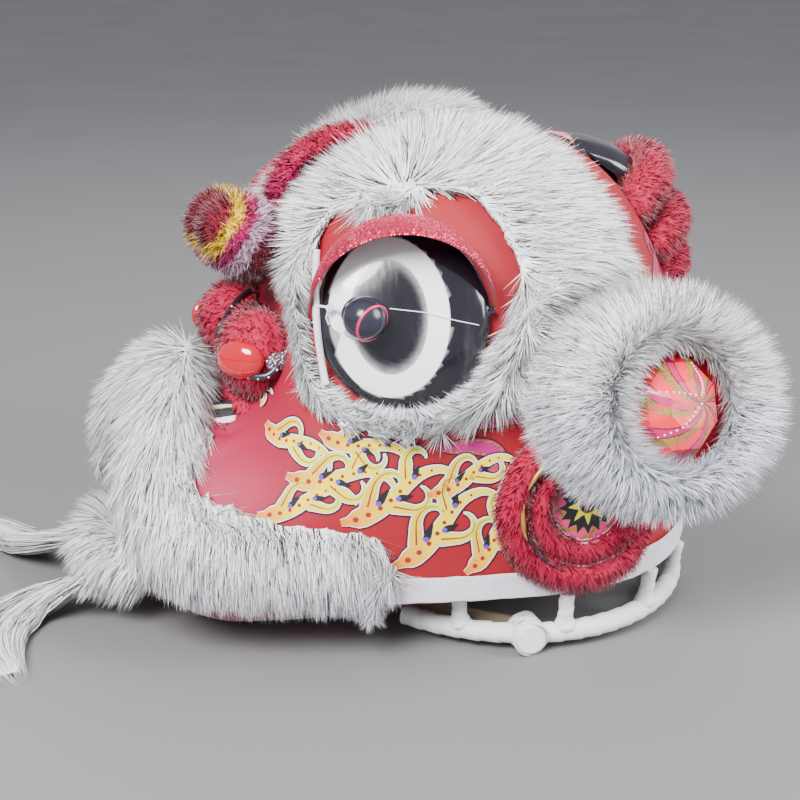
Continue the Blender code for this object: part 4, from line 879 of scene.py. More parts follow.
class Chart:
    """Places on the shell by how far round the head they lie and how high."""

    AXIS = Vector((0.0, 0.190, 0.0))

    def __init__(self, head: Head) -> None:
        """Reads the shell's form."""
        self.tree = head.shell_tree

    def place(self, turn_deg: float, height: float) -> Vector:
        """The outer point at an angle from the front, round to the left, and a height."""
        turn = math.radians(turn_deg)
        out = Vector((math.sin(turn), -math.cos(turn), 0.0))
        origin = Vector((self.AXIS.x, self.AXIS.y, height))
        hit, _, _, _ = self.tree.ray_cast(origin + out * 0.9, -out)
        return hit if hit is not None else origin + out * 0.24

    def walk(self, turn_deg: float, height: float, rows: Array) -> Array:
        """Lays flat sizes, back and up from a place, onto the shell."""
        start = self.place(turn_deg, height)
        radius = max(0.15, (start - Vector((0.0, self.AXIS.y, height))).length)
        return np.array([
            self.place(turn_deg + math.degrees(u / radius), height + v) for u, v in rows
        ])


def wander(heading_deg: float, length: float, bends: Sequence[float], steps: int = 14) -> Array:
    """A flat path that turns as it goes.

    Args:
        heading_deg: where it starts to, from straight back towards straight up.
        length: its length in metres.
        bends: how far it has turned, in degrees, at even shares of its length.
        steps: how many legs it has.

    Returns:
        Its points from zero, back and up.
    """
    shares = np.linspace(0, 1, steps)
    turned = np.interp(shares, np.linspace(0, 1, len(bends)), bends)
    angles = np.radians(heading_deg + turned)
    legs = np.column_stack([np.cos(angles), np.sin(angles)]) * length / steps
    return np.vstack([[0.0, 0.0], np.cumsum(legs, axis=0)])


@dataclass(frozen=True)
class Flame:
    """A painted flame: its foot, where it leans and how large it is."""

    turn: float
    height: float
    heading: float
    length: float
    tongues: int = 3


@dataclass(frozen=True)
class Scroll:
    """A painted cloud stroke that ends in a curl."""

    turn: float
    height: float
    heading: float
    length: float
    width: float
    curl: float


FLAMES = (
    Flame(24, 0.228, -22, 0.105, 2), Flame(33, 0.192, -12, 0.125), Flame(30, 0.152, 6, 0.110, 2),
    Flame(43, 0.150, 14, 0.140), Flame(52, 0.104, 26, 0.145), Flame(66, 0.094, 36, 0.120),
    Flame(78, 0.092, 42, 0.110), Flame(38, 0.238, -28, 0.110), Flame(58, 0.178, 8, 0.110, 2),
    Flame(94, 0.090, 45, 0.105), Flame(110, 0.094, 45, 0.110), Flame(127, 0.096, 50, 0.120),
    Flame(144, 0.096, 55, 0.120), Flame(161, 0.096, 50, 0.115), Flame(12, 0.205, 50, 0.070, 2),
)
SCROLLS = (
    Scroll(60, 0.226, -8, 0.120, 0.0085, -300), Scroll(68, 0.246, 4, 0.110, 0.0080, 280),
    Scroll(70, 0.205, -22, 0.060, 0.0060, 200), Scroll(100, 0.290, 20, 0.100, 0.0080, 280),
    Scroll(118, 0.250, 30, 0.110, 0.0085, -280), Scroll(136, 0.240, 50, 0.120, 0.0085, -300),
    Scroll(150, 0.300, 20, 0.110, 0.0080, 300), Scroll(168, 0.250, 60, 0.110, 0.0080, -300),
    Scroll(128, 0.350, 20, 0.110, 0.0080, 290), Scroll(150, 0.390, 30, 0.100, 0.0075, -290),
    Scroll(30, 0.340, 70, 0.080, 0.0070, 300), Scroll(16, 0.300, 60, 0.070, 0.0060, -280),
    Scroll(10, 0.380, 80, 0.080, 0.0070, 280), Scroll(110, 0.400, 40, 0.100, 0.0075, -280),
)


class Artwork:
    """Painted flames and clouds, each colour a thin layer laid on the skin."""

    LAYER = 0.00018

    def __init__(self, head: Head, skin: bpy.types.Object) -> None:
        """Starts with no paint on the skin."""
        self.chart = Chart(head)
        self.tree = Head.tree_of(skin)
        self.points: list[Array] = []
        self.faces: list[list[int]] = []
        self.tints: list[Array] = []
        self.gold: list[Array] = []
        self.count = 0

    def add(self, mark: Flame | Scroll, rows: Array, faces: Sequence[Sequence[int]], level: float,
            colour: Array | Colour, gold: float = 0.0) -> None:
        """Lays flat points onto the skin at a layer, in one colour or a colour for each."""
        laid = []
        for place in self.chart.walk(mark.turn, mark.height, rows):
            spot, normal, _, _ = self.tree.find_nearest(Vector(place))
            laid.append(np.array(spot + normal * (level * self.LAYER)))
        self.points.append(np.array(laid))
        self.faces += [[self.count + index for index in face] for face in faces]
        self.tints.append(np.broadcast_to(np.array(colour, float), (len(rows), 3)))
        self.gold.append(np.full(len(rows), gold))
        self.count += len(rows)

    def strip(self, mark: Flame | Scroll, rows: Array, radii: Array, level: float,
              colour: Array | Colour, gold: float = 0.0) -> None:
        """A brush stroke along a flat path, as wide at each place as the radii say."""
        ahead = unit(np.gradient(rows, axis=0))
        side = np.column_stack([-ahead[:, 1], ahead[:, 0]]) * radii[:, None]
        edges = np.stack([rows - side, rows, rows + side], axis=1).reshape(-1, 2)
        faces = [[3 * i + k, 3 * i + 3 + k, 3 * i + 4 + k, 3 * i + 1 + k]
                 for i in range(len(rows) - 1) for k in (0, 1)]
        tints = np.repeat(np.broadcast_to(np.array(colour, float), (len(rows), 3)), 3, axis=0)
        self.add(mark, edges, faces, level, tints, gold)

    def spot(self, mark: Flame | Scroll, row: Array, radius: float, level: float,
             colour: Colour) -> None:
        """A round dot."""
        turns = np.radians(np.arange(0, 360, 36))
        ring = row + radius * np.column_stack([np.cos(turns), np.sin(turns)])
        faces = [[0, 1 + k, 1 + (k + 1) % 10] for k in range(10)]
        self.add(mark, np.vstack([row, ring]), faces, level, colour)

    def lick(self, mark: Flame, rows: Array, radii: Array, tints: Array) -> None:
        """One flame body or tongue with its black and pale outlines."""
        ends = np.clip(np.arange(len(rows)) / 1.5, 0.35, 1)
        self.strip(mark, rows, radii + 0.0026 * ends, 5, BLACK)
        self.strip(mark, rows, radii + 0.0013 * ends, 6, LILAC)
        self.strip(mark, rows, radii, 7, tints)

    def flame(self, flame: Flame) -> None:
        """One flame with its tongues, inner strokes, dots and beads."""
        size = flame.length / 0.10
        spine = wander(flame.heading, flame.length, (0, 16, 34, 24, -14, -75), 20)
        t = np.linspace(0, 1, len(spine))
        radii = 0.0078 * size * (1 - t) ** 0.75 * np.clip(t / 0.12, 0.3, 1)
        stops = np.array((ORANGE, YELLOW, YELLOW, LIME)).T
        warm = np.array([np.interp(t, (0, 0.35, 0.75, 1), row) for row in stops]).T
        self.lick(flame, spine, radii, warm)
        for k in range(flame.tongues):
            side = 1 if k % 2 == 0 else -1
            index = int((0.16 + 0.52 * k / flame.tongues) * (len(spine) - 1))
            ahead = spine[index + 1] - spine[index]
            angle = math.degrees(math.atan2(ahead[1], ahead[0]))
            long = flame.length * (0.56 - 0.07 * k)
            bends = np.array((0, 14, 10, -30, -95, -150)) * side
            tongue = wander(angle + side * 40, long, bends, 14) + spine[index]
            s = np.linspace(0, 1, len(tongue))
            wide = 0.0054 * size * (1 - s) ** 0.8 * np.clip(s / 0.10, 0.5, 1)
            tints = warm[index] * (1 - s[:, None]) + np.array(LIME) * s[:, None]
            self.lick(flame, tongue, wide, tints)
            self.strip(flame, tongue[2:-3], 0.0007 * size * (1 - s[2:-3]), 8, RED)
            across = np.array((-ahead[1], ahead[0])) / np.linalg.norm(ahead)
            crotch = tongue[5] - across * side * 0.0105 * size
            self.spot(flame, crotch, 0.0020 * size, 8.5, VIOLET)
            drop = crotch + (tongue[9] - tongue[5]) * np.linspace(0, 0.8, 5)[:, None]
            self.strip(flame, drop, 0.0026 * size * np.array((0.9, 1, 0.7, 0.4, 0.05)), 8, BLACK)
        for share in np.arange(0.10, 0.82, 0.09):
            row = np.array([np.interp(share, t, spine[:, k]) for k in (0, 1)])
            self.spot(flame, row, (0.0017 * (1 - share) + 0.0005) * size, 9, RED)

    def scroll(self, scroll: Scroll) -> None:
        """One cloud stroke that ends in a curl."""
        bends = (0, 12, -8, scroll.curl * 0.25, scroll.curl * 0.62, scroll.curl)
        spine = wander(scroll.heading, scroll.length, bends, 26)
        shares = np.linspace(0, 1, len(spine))
        radii = scroll.width * np.sin(np.pi * np.clip(shares * 0.85 + 0.13, 0, 1)) ** 0.8
        ends = np.clip(np.minimum(shares, 1 - shares) / 0.08, 0.3, 1)
        for extra, level, colour, gold in (
                (0.0014, 1, BLACK, 0), (0.0, 2, HOT_PINK, 0), (-0.0012, 3, GOLD, 1),
                (-0.0030, 4, (0.42, 0.003, 0.17), 0)):
            self.strip(scroll, spine, np.maximum(radii + extra * ends, 0.0002), level, colour, gold)

    def finish(self) -> bpy.types.Object:
        """Joins the paint of both sides."""
        left = new_mesh("artwork_left", np.vstack(self.points), self.faces)
        set_colours(left, "tint", np.vstack(self.tints))
        set_floats(left, "gold", np.concatenate(self.gold))
        right = mirrored(left, "artwork_right")
        return smooth(join([left, right], "shell_artwork"))


@dataclass(frozen=True)
class PaintedSkin:
    """The head's painted cloth, or the paint on it."""

    name: str
    paint: bool = False

    def build(self) -> bpy.types.Material:
        """Makes the material."""
        material, graph, shader = new_material(self.name)
        place = graph.place()
        cloud = graph.noise(place, 9.0, 3.0)
        if self.paint:
            glitter = graph.node("ShaderNodeGroup", node_tree=glitter_group())
            glitter.inputs["Scale"].default_value = 1400.0
            specks = graph.mix(glitter.outputs["Specks"], GOLD, (0.10, 0.05, 0.02))
            colour = graph.mix(graph.kept("gold"), graph.kept_colour("tint"), specks)
        else:
            split = graph.node("ShaderNodeSeparateXYZ")
            graph.put(split.inputs[0], place)
            front = graph.math("MULTIPLY_ADD", split.outputs["Y"], -9.0, -0.25, clamp=True)
            colour = graph.mix(front, RED, (0.36, 0.001, 0.05))
            colour = graph.mix(graph.math("MULTIPLY", cloud, 0.35), colour, DEEP_CRIMSON)
        graph.put(shader.inputs["Base Color"], colour)
        weave = graph.node("ShaderNodeGroup", node_tree=woven_group())
        graph.put(weave.inputs["Vector"], place)
        weave.inputs["Scale"].default_value = 420.0
        height = graph.math("MULTIPLY_ADD", weave.outputs["Height"], 0.25, cloud)
        graph.put(shader.inputs["Normal"], graph.bump(height, 0.18, 0.0006))
        rough = graph.math("MULTIPLY_ADD", cloud, 0.20, 0.55)
        graph.put(shader.inputs["Roughness"], rough)
        return material


@dataclass
class PaintedShell:
    """The head's shell: its painted outer skin over a plain lining."""

    head: Head
    cuts: int = 4
    MIDDLE = np.array((0.0, 0.190, 0.200))

    def build(self) -> bpy.types.Object:
        """Rounds the shell's outer wall off, lines it and paints it."""
        obj = self.head.copy_of("head_shell", "shell_skin")
        self.select_outer(obj)
        bpy.ops.mesh.subdivide(number_cuts=self.cuts, quadcorner="INNERVERT")
        bpy.ops.mesh.vertices_smooth(factor=0.5, repeat=14)
        close_edit()
        places, normals = points_of(obj), normals_of(obj)
        inward = ((places - self.MIDDLE) * normals).sum(axis=1) < 0.004
        set_points(obj, places + normals * np.where(inward, 0.004, 0.0)[:, None])
        smooth(obj, 50)
        lining = WovenFinish("shell_lining", (0.42, 0.05, 0.05), (0.30, 0.04, 0.04), 240.0).build()
        obj.data.materials.append(PaintedSkin("painted_skin").build())
        obj.data.materials.append(lining)
        outer = self.outer_faces(obj)
        obj.data.polygons.foreach_set("material_index", np.where(outer, 0, 1))
        artwork = Artwork(self.head, obj)
        for scroll in SCROLLS:
            artwork.scroll(scroll)
        for flame in FLAMES:
            artwork.flame(flame)
        paint = artwork.finish()
        dress(paint, PaintedSkin("skin_paint", True).build(), "painted_skin", Body.HEAD)
        return dress(obj, obj.data.materials[0], "painted_skin", Body.HEAD, "head_shell")

    def outer_faces(self, obj: bpy.types.Object) -> Array:
        """Which faces lie on the outer wall."""
        centres = np.array([face.center for face in obj.data.polygons])
        normals = np.array([face.normal for face in obj.data.polygons])
        return ((centres - self.MIDDLE) * normals).sum(axis=1) > 0.0

    def select_outer(self, obj: bpy.types.Object) -> None:
        """Opens the shell in edit mode with its outer wall selected."""
        outer = self.outer_faces(obj)
        activate(obj)
        bpy.ops.object.mode_set(mode="EDIT")
        bpy.ops.mesh.select_mode(type="FACE")
        bpy.ops.mesh.select_all(action="DESELECT")
        close_edit()
        for face, chosen in zip(obj.data.polygons, outer):
            face.select = bool(chosen)
        bpy.ops.object.mode_set(mode="EDIT")


# Fur pieces


def soft_form(head: Head, node: str, name: str, shrink: float, rounds: int = 1,
              ease: int = 3) -> bpy.types.Object:
    """The padded form under a fur piece: the solid, rounded off and drawn in.

    Args:
        head: the head.
        node: the solid to start from.
        name: the form's name.
        shrink: how far it is drawn in, in metres.
        rounds: how often its faces are split and rounded.
        ease: how often its points are then eased.

    Returns:
        The form.
    """
    obj = head.copy_of(node, name)
    modifier = obj.modifiers.new("round", "SUBSURF")
    modifier.levels = modifier.render_levels = rounds
    apply_all(obj)
    edit_all(obj)
    bpy.ops.mesh.vertices_smooth(factor=0.5, repeat=ease)
    close_edit()
    set_points(obj, points_of(obj) - normals_of(obj) * shrink)
    return smooth(obj)


LONG_WHITE = FurCut(strands=92000, length=0.035, width=0.0013, lift=0.36, droop=0.40,
                    clumps=5000, clumping=0.30, segments=1, mess=0.10, spread=0.28)
BROW_WHITE = FurCut(strands=66000, length=0.036, width=0.0013, lift=0.38, droop=0.22,
                    clumps=4000, clumping=0.30, segments=1, mess=0.10, spread=0.28)
EAR_WHITE = FurCut(strands=42000, length=0.034, width=0.0013, lift=0.32, droop=0.18,
                   clumps=2600, clumping=0.30, segments=1, mess=0.10, spread=0.28)
SHORT_FUR = FurCut(strands=11500, length=0.0075, width=0.0010, lift=0.62, droop=0.25,
                   clumps=2500, clumping=0.25, segments=2, mess=0.20, sink=0.001)


@dataclass
class FurPieces:
    """The head's fur trims, each grown over its padded solid."""

    head: Head
    white: bpy.types.Material = field(init=False)
    crimson: bpy.types.Material = field(init=False)

    def __post_init__(self) -> None:
        """Makes the two fur materials."""
        self.white = FurFinish("white_fur", root_shade=0.92, tone_range=0.05).build()
        self.crimson = FurFinish("crimson_fur", root_shade=0.75, tone_range=0.12).build()

    def lip(self) -> bpy.types.Object:
        """The long white roll along the upper lip."""
        form = soft_form(self.head, "lip_fur", "lip_form", 0.012)

        def flow(places: Array, normals: Array) -> Array:
            out = unit(places * np.array((1.6, 0.25, 0.0)))
            return unit(normals * 0.7 + out * 0.35 + DOWN * 0.6)

        def trim(places: Array, normals: Array) -> Array:
            return 0.50 + 0.50 * step_in(0.045, 0.105, places[:, 2])
        # Painted shade: the roll's fur turns cooler and darker towards its bottom.
        tint = one_colour(SHADED_WHITE, FUR_WHITE, 0.05, 0.16)
        obj = Fur(form, LONG_WHITE, flow, tint, seed=3, trim=trim).grow("lip_fur_strands")
        return dress(obj, self.white, "white_fur", Body.HEAD, "lip_fur")

    def brow(self) -> list[bpy.types.Object]:
        """The deep white rings round the eyes."""
        form = soft_form(self.head, "brow_fur_left", "brow_form", 0.009)
        eye = np.array(EYE_AIM)

        out = np.array(EYE_NORMAL)

        def inner(places: Array) -> Array:
            gap = places - eye
            flat = gap - (gap @ out)[:, None] * out
            return 1 - step_in(0.098, 0.132, np.linalg.norm(flat, axis=1))

        def flow(places: Array, normals: Array) -> Array:
            away = unit(places - eye)
            high = step_in(0.36, 0.46, places[:, 2])[:, None]
            near = inner(places)[:, None]
            lie = normals * 0.5 + away * 0.4 + DOWN * (0.15 + 0.25 * high)
            return unit(lie * (1 - near) + (out * 0.3 - away * 0.9 + DOWN * 0.45) * near)

        def trim(places: Array, normals: Array) -> Array:
            high = step_in(0.36, 0.42, places[:, 2])
            front = 1 - step_in(-0.040, 0.010, places[:, 1])
            low = 1 - step_in(0.235, 0.275, places[:, 2])
            size = 1 + inner(places) * (0.45 * high - 0.25 * (1 - high))
            return size * (1 - 0.30 * front * (1 - high)) * (1 - 0.30 * low)
        # Painted shade: the brow's fur is cooler and darker low down.
        tint = one_colour((0.90, 0.92, 0.95), FUR_WHITE, 0.25, 0.45)
        left = Fur(form, BROW_WHITE, flow, tint, seed=5, trim=trim).grow("brow_fur_left_strands")
        return self.pair(left, self.white, "white_fur", "brow_fur")

    def pair(self, left: bpy.types.Object, material: bpy.types.Material, slot: str,
             node: str, bodies: tuple[Body, Body] = (Body.HEAD, Body.HEAD)
             ) -> list[bpy.types.Object]:
        """Dresses a left piece and its mirrored twin."""
        left.data.materials.clear()
        left.data.materials.append(material)
        right = mirrored(left, left.name.replace("left", "right"))
        dress(left, material, slot, bodies[0], node + "_left")
        dress(right, material, slot, bodies[1], node + "_right")
        return [left, right]

    def ears(self) -> list[bpy.types.Object]:
        """The white fur that radiates from the ears' cups."""
        form = soft_form(self.head, "ear_fur_left", "ear_form", 0.008)
        back, up = plane_axes(EAR_NORMAL)
        plate = self.head.on_shell(EAR_AIM, EAR_NORMAL, 0.042)
        cup = plate + back * 0.024 - up * 0.008
        middle, out = np.array(cup), np.array(EAR_NORMAL)

        def inner(places: Array) -> Array:
            gap = places - middle
            flat = gap - (gap @ out)[:, None] * out
            return 1 - step_in(0.052, 0.072, np.linalg.norm(flat, axis=1))

        def flow(places: Array, normals: Array) -> Array:
            near = inner(places)[:, None]
            away = unit(places - middle)
            return unit(away * (1 - near) + DOWN * 0.12 + out * (0.2 + near) - away * 0.35 * near)

        def trim(places: Array, normals: Array) -> Array:
            return 1 - 0.55 * inner(places)
        # Painted shade: the ear's fur is bluer and darker towards its bottom.
        tint = one_colour((0.86, 0.88, 0.97), FUR_WHITE, 0.20, 0.36)
        left = Fur(form, EAR_WHITE, flow, tint, seed=7, trim=trim).grow("ear_fur_left_strands")
        bodies = (Body.EAR_LEFT, Body.EAR_RIGHT)
        return self.pair(left, self.white, "white_fur", "ear_fur", bodies)

    def short(self, node: str, name: str, cut: FurCut, flow: Flow, seed: int,
              tint: Tint | None = None, shrink: float = 0.0025) -> bpy.types.Object:
        """A piece in short crimson fur."""
        form = soft_form(self.head, node, name + "_form", shrink, ease=1)
        tint = tint or one_colour(CRIMSON)
        return Fur(form, cut, flow, tint, seed=seed).grow(name)

    def nose(self) -> bpy.types.Object:
        """The nose's lobes and roll."""
        flow = away_from((0.0, 0.02, 0.40), 0.4)
        obj = self.short("nose", "nose_strands", SHORT_FUR, flow, 11, shrink=0.0)
        return dress(obj, self.crimson, "crimson_fur", Body.HEAD, "nose")

    def rolls(self) -> None:
        """The cheeks' and the crest's rolls and the roll up the horn."""
        middle = self.head.on_shell(CHEEK_AIM, CHEEK_NORMAL)
        for node, strands, seed in (("cheek_inner_roll", 4500, 13), ("cheek_outer_roll", 6500, 17)):
            cut = FurCut(strands, 0.009, 0.0011, 0.6, 0.35, 1200, 0.25, 2, mess=0.2, sink=0.001)
            left = self.short(node + "_left", node + "_left_strands", cut,
                              away_from(middle, 0.4), seed, shrink=-0.0025)
            self.pair(left, self.crimson, "crimson_fur", node)
        for k in (1, 2, 3):
            cut = FurCut(5500, 0.011, 0.0011, 0.6, 0.3, 1200, 0.25, 2, mess=0.2, sink=0.001)
            node = f"crest_roll_{k}"
            obj = self.short(node, node + "_strands", cut, away_from((0, 0.28, 0.40), 0.3), 20 + k,
                             shrink=-0.0045)
            dress(obj, self.crimson, "crimson_fur", Body.HEAD, node)
        cut = FurCut(4500, 0.012, 0.0011, 0.6, 0.3, 300, 0.4, 2, mess=0.25, sink=0.001)
        tint = one_colour((0.50, 0.004, 0.10), CRIMSON, 0.44, 0.50)
        flow = away_from((0, 0.1, 0.40), 0.2)
        obj = self.short("horn_fur", "horn_fur_strands", cut, flow, 29, tint)
        dress(obj, self.crimson, "crimson_fur", Body.HEAD, "horn_fur")


@dataclass
class Eye:
    """The eyes: glossy panels with painted rings, balls, sequinned lids and ties."""

    head: Head
    half_length: float = 0.086
    half_height: float = 0.092
    bulge: float = 0.020
    ball_radius: float = 0.021
    ball_forward: float = 0.036
    lid_radius: float = 0.0965
    sequin: float = 0.0030
    centre: Vector = field(init=False)
    matrix: Matrix = field(init=False)

    def __post_init__(self) -> None:
        """Finds the left eye's place."""
        self.centre = self.head.on_shell(EYE_AIM, EYE_NORMAL)
        self.back, self.up = plane_axes(EYE_NORMAL)
        self.matrix = turned_to(self.back, self.up, EYE_NORMAL, self.centre)

    def gloss(self) -> bpy.types.Material:
        """Black gloss with faint grey streaks painted on as reflections, the same noise roughening
        and raising it.
        """
        material, graph, shader = new_material("black_gloss")
        split = graph.node("ShaderNodeSeparateXYZ")
        graph.put(split.inputs[0], graph.place(self.mirror_safe()))
        streaks_and_reflections = graph.noise(graph.place(), 9.0, 5.0, (1.0, 7.0, 1.6))
        # Painted reflections: grey streaks in the black, from the same noise that roughens and
        # raises it.
        colour = graph.mix(graph.math("MULTIPLY_ADD", streaks_and_reflections, 2.2, -1.25, clamp=True), BLACK,
                           (0.045, 0.045, 0.052))
        graph.put(shader.inputs["Base Color"], colour)
        graph.put(shader.inputs["Roughness"], graph.math("MULTIPLY_ADD", streaks_and_reflections, 0.25, 0.07))
        graph.put(shader.inputs["Normal"], graph.bump(streaks_and_reflections, 0.35, 0.0015))
        shader.inputs["Coat Weight"].default_value = 0.6
        return material

    def ring_paint(self) -> bpy.types.Material:
        """The panel's paint: a white ring fading inward, on black gloss."""
        material, graph, shader = new_material("eye_paint")
        streaks_and_reflections = graph.noise(graph.place(), 9.0, 5.0, (1.0, 7.0, 1.6))
        # Painted reflections: the same grey streaks in the black round the ring.
        grey = graph.math("MULTIPLY_ADD", streaks_and_reflections, 2.2, -1.25, clamp=True)
        colour = graph.mix(grey, BLACK, (0.045, 0.045, 0.052))
        fade = graph.kept("fade")
        grain = graph.noise(graph.place(), 180.0, 3.0)
        worn = graph.math("MULTIPLY_ADD", grain, 0.9, 0.35)
        fade = graph.math("MULTIPLY", fade, worn, clamp=True)
        colour = graph.mix(fade, colour, (0.48, 0.47, 0.50))
        ring = graph.inside(graph.kept("ring"), 0.0, 0.0006)
        colour = graph.mix(ring, colour, (0.86, 0.86, 0.87))
        graph.put(shader.inputs["Base Color"], colour)
        graph.put(shader.inputs["Roughness"], graph.math("MULTIPLY_ADD", streaks_and_reflections, 0.25, 0.07))
        graph.put(shader.inputs["Normal"], graph.bump(streaks_and_reflections, 0.3, 0.0015))
        shader.inputs["Coat Weight"].default_value = 0.6
        return material

    def mirror_safe(self) -> Matrix:
        """The left eye's place, for paint in its own directions."""
        return self.matrix

    def panel(self) -> bpy.types.Object:
        """The domed panel, split finely enough to keep its paint."""
        obj = self.head.copy_of("eye_panel_left", "eye_panel_left_skin")
        edit_all(obj)
        bpy.ops.mesh.subdivide(number_cuts=5)
        bpy.ops.mesh.vertices_smooth(factor=0.5, repeat=8)
        close_edit()
        smooth(obj, 40)
        local = np.array([self.matrix.inverted() @ Vector(p) for p in points_of(obj)])
        u, v = local[:, 0] + 0.013, local[:, 1]
        reach = np.sqrt((u / 0.058) ** 2 + (v / 0.077) ** 2)
        hole = np.sqrt((u / 0.037) ** 2 + (v / 0.055) ** 2)
        ring = np.minimum((1 - reach) * 0.062, (hole - 1) * 0.044)
        turn = np.degrees(np.arctan2(v, u))
        notch = np.abs((turn - 196 + 180) % 360 - 180)
        ring -= 0.010 * np.exp(-((notch / 9) ** 2))
        set_floats(obj, "ring", np.where(local[:, 2] > -0.02, ring, -1))
        inner = np.clip((hole - 0.78) / 0.22, 0, 1) * (reach < 1)
        set_floats(obj, "fade", np.where(local[:, 2] > -0.02, inner ** 2 * 0.9, 0))
        return obj

    def ball(self) -> bpy.types.Object:
        """The glossy ball with its hot pink stripe."""
        forward = self.centre - self.back * self.ball_forward
        share = math.sqrt(1 - (self.ball_forward / self.half_length) ** 2)
        middle = forward + EYE_NORMAL * (self.bulge * share + self.ball_radius + 0.0003)
        bpy.ops.mesh.primitive_uv_sphere_add(segments=48, ring_count=32, radius=self.ball_radius)
        obj = named("eyeball_left_gloss")
        obj.matrix_world = turned_to(self.back, self.up, EYE_NORMAL, middle)
        settle(obj)
        stripe, collar = self.band("eye_stripe", middle, 0.50, 0.62), self.band(
            "eye_collar", middle, -0.80, 0.95)
        obj.data.materials.append(bpy.data.materials["black_gloss"])
        pink = PlainFinish("eye_pink", HOT_PINK, (0.70, 0.01, 0.12), 0.3, coat=0.4).build()
        stripe.data.materials.append(pink)
        collar.data.materials.append(bpy.data.materials["black_gloss"])
        return join([obj, stripe, collar], "eyeball_left_gloss")

    def band(self, name: str, middle: Vector, level: float, size: float) -> bpy.types.Object:
        """A raised ring round the ball at a level along its slanted axis."""
        axis = (self.back * 0.55 - self.up * 0.45 + EYE_NORMAL * 0.55).normalized()
        side = axis.cross(self.up).normalized()
        other = axis.cross(side)
        radius = self.ball_radius * math.sqrt(max(0.05, 1 - level * level))
        thick = 0.0016 if size < 0.9 else 0.0024
        rows = []
        for k in range(40):
            turn = 2 * math.pi * k / 40
            out = side * math.cos(turn) + other * math.sin(turn)
            rows.append(middle + axis * (self.ball_radius * level) + out * (radius - thick * 0.2))
        return smooth(tube(name, rows, thick, 8, closed=True))

    def lid(self) -> bpy.types.Object:
        """The arched lid, its outer face sewn with small round sequins."""
        obj = self.head.copy_of("eyelid_left", "eyelid_left_cloth")
        edit_all(obj)
        bpy.ops.mesh.subdivide(number_cuts=3)
        bpy.ops.mesh.vertices_smooth(factor=0.5, repeat=4)
        close_edit()
        smooth(obj, 40)
        obj.data.materials.append(
            WovenFinish("lid_cloth", (0.20, 0.001, 0.025), (0.14, 0.001, 0.015), 320.0).build())
        discs = self.sequins(obj)
        return join([obj, discs], "eyelid_left_cloth")

    def sequins(self, cloth: bpy.types.Object) -> bpy.types.Object:
        """Small discs in rows over the cloth's outer face."""
        tree = Head.tree_of(cloth)
        rng = np.random.default_rng(31)
        corners, faces = [], []
        pitch = self.sequin * 0.82
        rows = int(math.radians(44) * self.lid_radius / pitch) + 4
        columns = int(2 * self.half_length / pitch) + 2
        for i in range(rows):
            lean = math.radians(47.5) + i * pitch / self.lid_radius
            for j in range(columns):
                reach = (j + 0.5 * (i % 2)) * pitch - self.half_length - pitch
                out = (self.up * math.sin(lean) + EYE_NORMAL * math.cos(lean)).normalized()
                start = self.centre + self.back * reach + out * 0.16
                hit, normal, _, _ = tree.ray_cast(start, -out, 0.14)
                if hit is None or normal.dot(out) < 0.35:
                    continue
                tilt = Vector(rng.normal(0, 0.16, 3))
                self.disc(corners, faces, hit + normal * 0.0005, (normal + tilt).normalized())
        obj = new_mesh("sequins", np.array(corners), faces)
        obj.data.materials.append(PlainFinish(
            "crimson_sequin", (0.42, 0.002, 0.030), (0.72, 0.02, 0.10), 0.22, 0.5, 0.2, 420.0,
            bump=0.05).build())
        return obj

    def disc(self, corners: list, faces: list, place: Vector, normal: Vector) -> None:
        """Adds one raised disc of six sides."""
        side = normal.orthogonal().normalized()
        other = normal.cross(side)
        start = len(corners)
        corners.append(tuple(place + normal * 0.0006))
        for k in range(6):
            turn = math.pi * k / 3
            corners.append(tuple(place + (side * math.cos(turn) + other * math.sin(turn))
                                 * self.sequin * 0.46))
        faces.extend((start, start + 1 + k, start + 1 + (k + 1) % 6) for k in range(6))

    def ties(self) -> bpy.types.Object:
        """The white tie in front of the ball, knotted, with a clear wire over the panel."""
        def place(u: float, v: float, lift: float) -> Vector:
            share = 1 - (u / self.half_length) ** 2 - (v / self.half_height) ** 2
            dome = self.bulge * math.sqrt(max(0.0, share))
            return self.matrix @ Vector((u, v, dome + lift))
        cord = tube("tie", [place(-0.081, 0.016, 0.002), place(-0.072, 0.014, 0.006),
                            place(-0.060, 0.010, 0.008), place(-0.054, 0.006, 0.006)], 0.0013, 10)
        knot = tube("knot", [place(-0.0685 + 0.003 * math.cos(t), 0.0125 + 0.003 * math.sin(t),
                                   0.0065 + 0.002 * math.sin(2 * t))
                             for t in np.linspace(0, 4 * math.pi, 24)], 0.0011, 8)
        tail = tube("tail", [place(-0.070, 0.012, 0.007), place(-0.073, 0.004, 0.005),
                             place(-0.071, -0.003, 0.003)], 0.0009, 8)
        edge = tube("edge", [place(-0.0825 + 0.010 * (s * s), v, 0.0018) for s, v in
                             zip(np.linspace(-0.62, 0.72, 16), np.linspace(-0.060, 0.070, 16))],
                    0.0036, 10)
        wire = tube("wire", [place(-0.012, 0.008, 0.0012), place(0.020, 0.002, 0.0012),
                             place(0.050, -0.008, 0.0012), place(0.072, -0.014, 0.0012)], 0.0005, 6)
        piece = join([cord, knot, tail, edge, wire], "eye_tie_left")
        return smooth(piece, 60)

    def build(self) -> None:
        """Makes both eyes."""
        self.gloss()
        paint = self.ring_paint()
        tape = WovenFinish("eye_tape", (0.86, 0.86, 0.88), (0.74, 0.74, 0.80), 500.0, 0.6).build()
        heads = (Body.HEAD, Body.HEAD)
        self.twins(self.panel(), paint, "black_gloss", heads, "eye_panel")
        self.twins(self.ball(), None, "black_gloss", heads, "eyeball")
        self.twins(self.lid(), None, "crimson_sequin", (Body.LID_LEFT, Body.LID_RIGHT), "eyelid")
        self.twins(self.ties(), tape, "white_tape", heads, "")

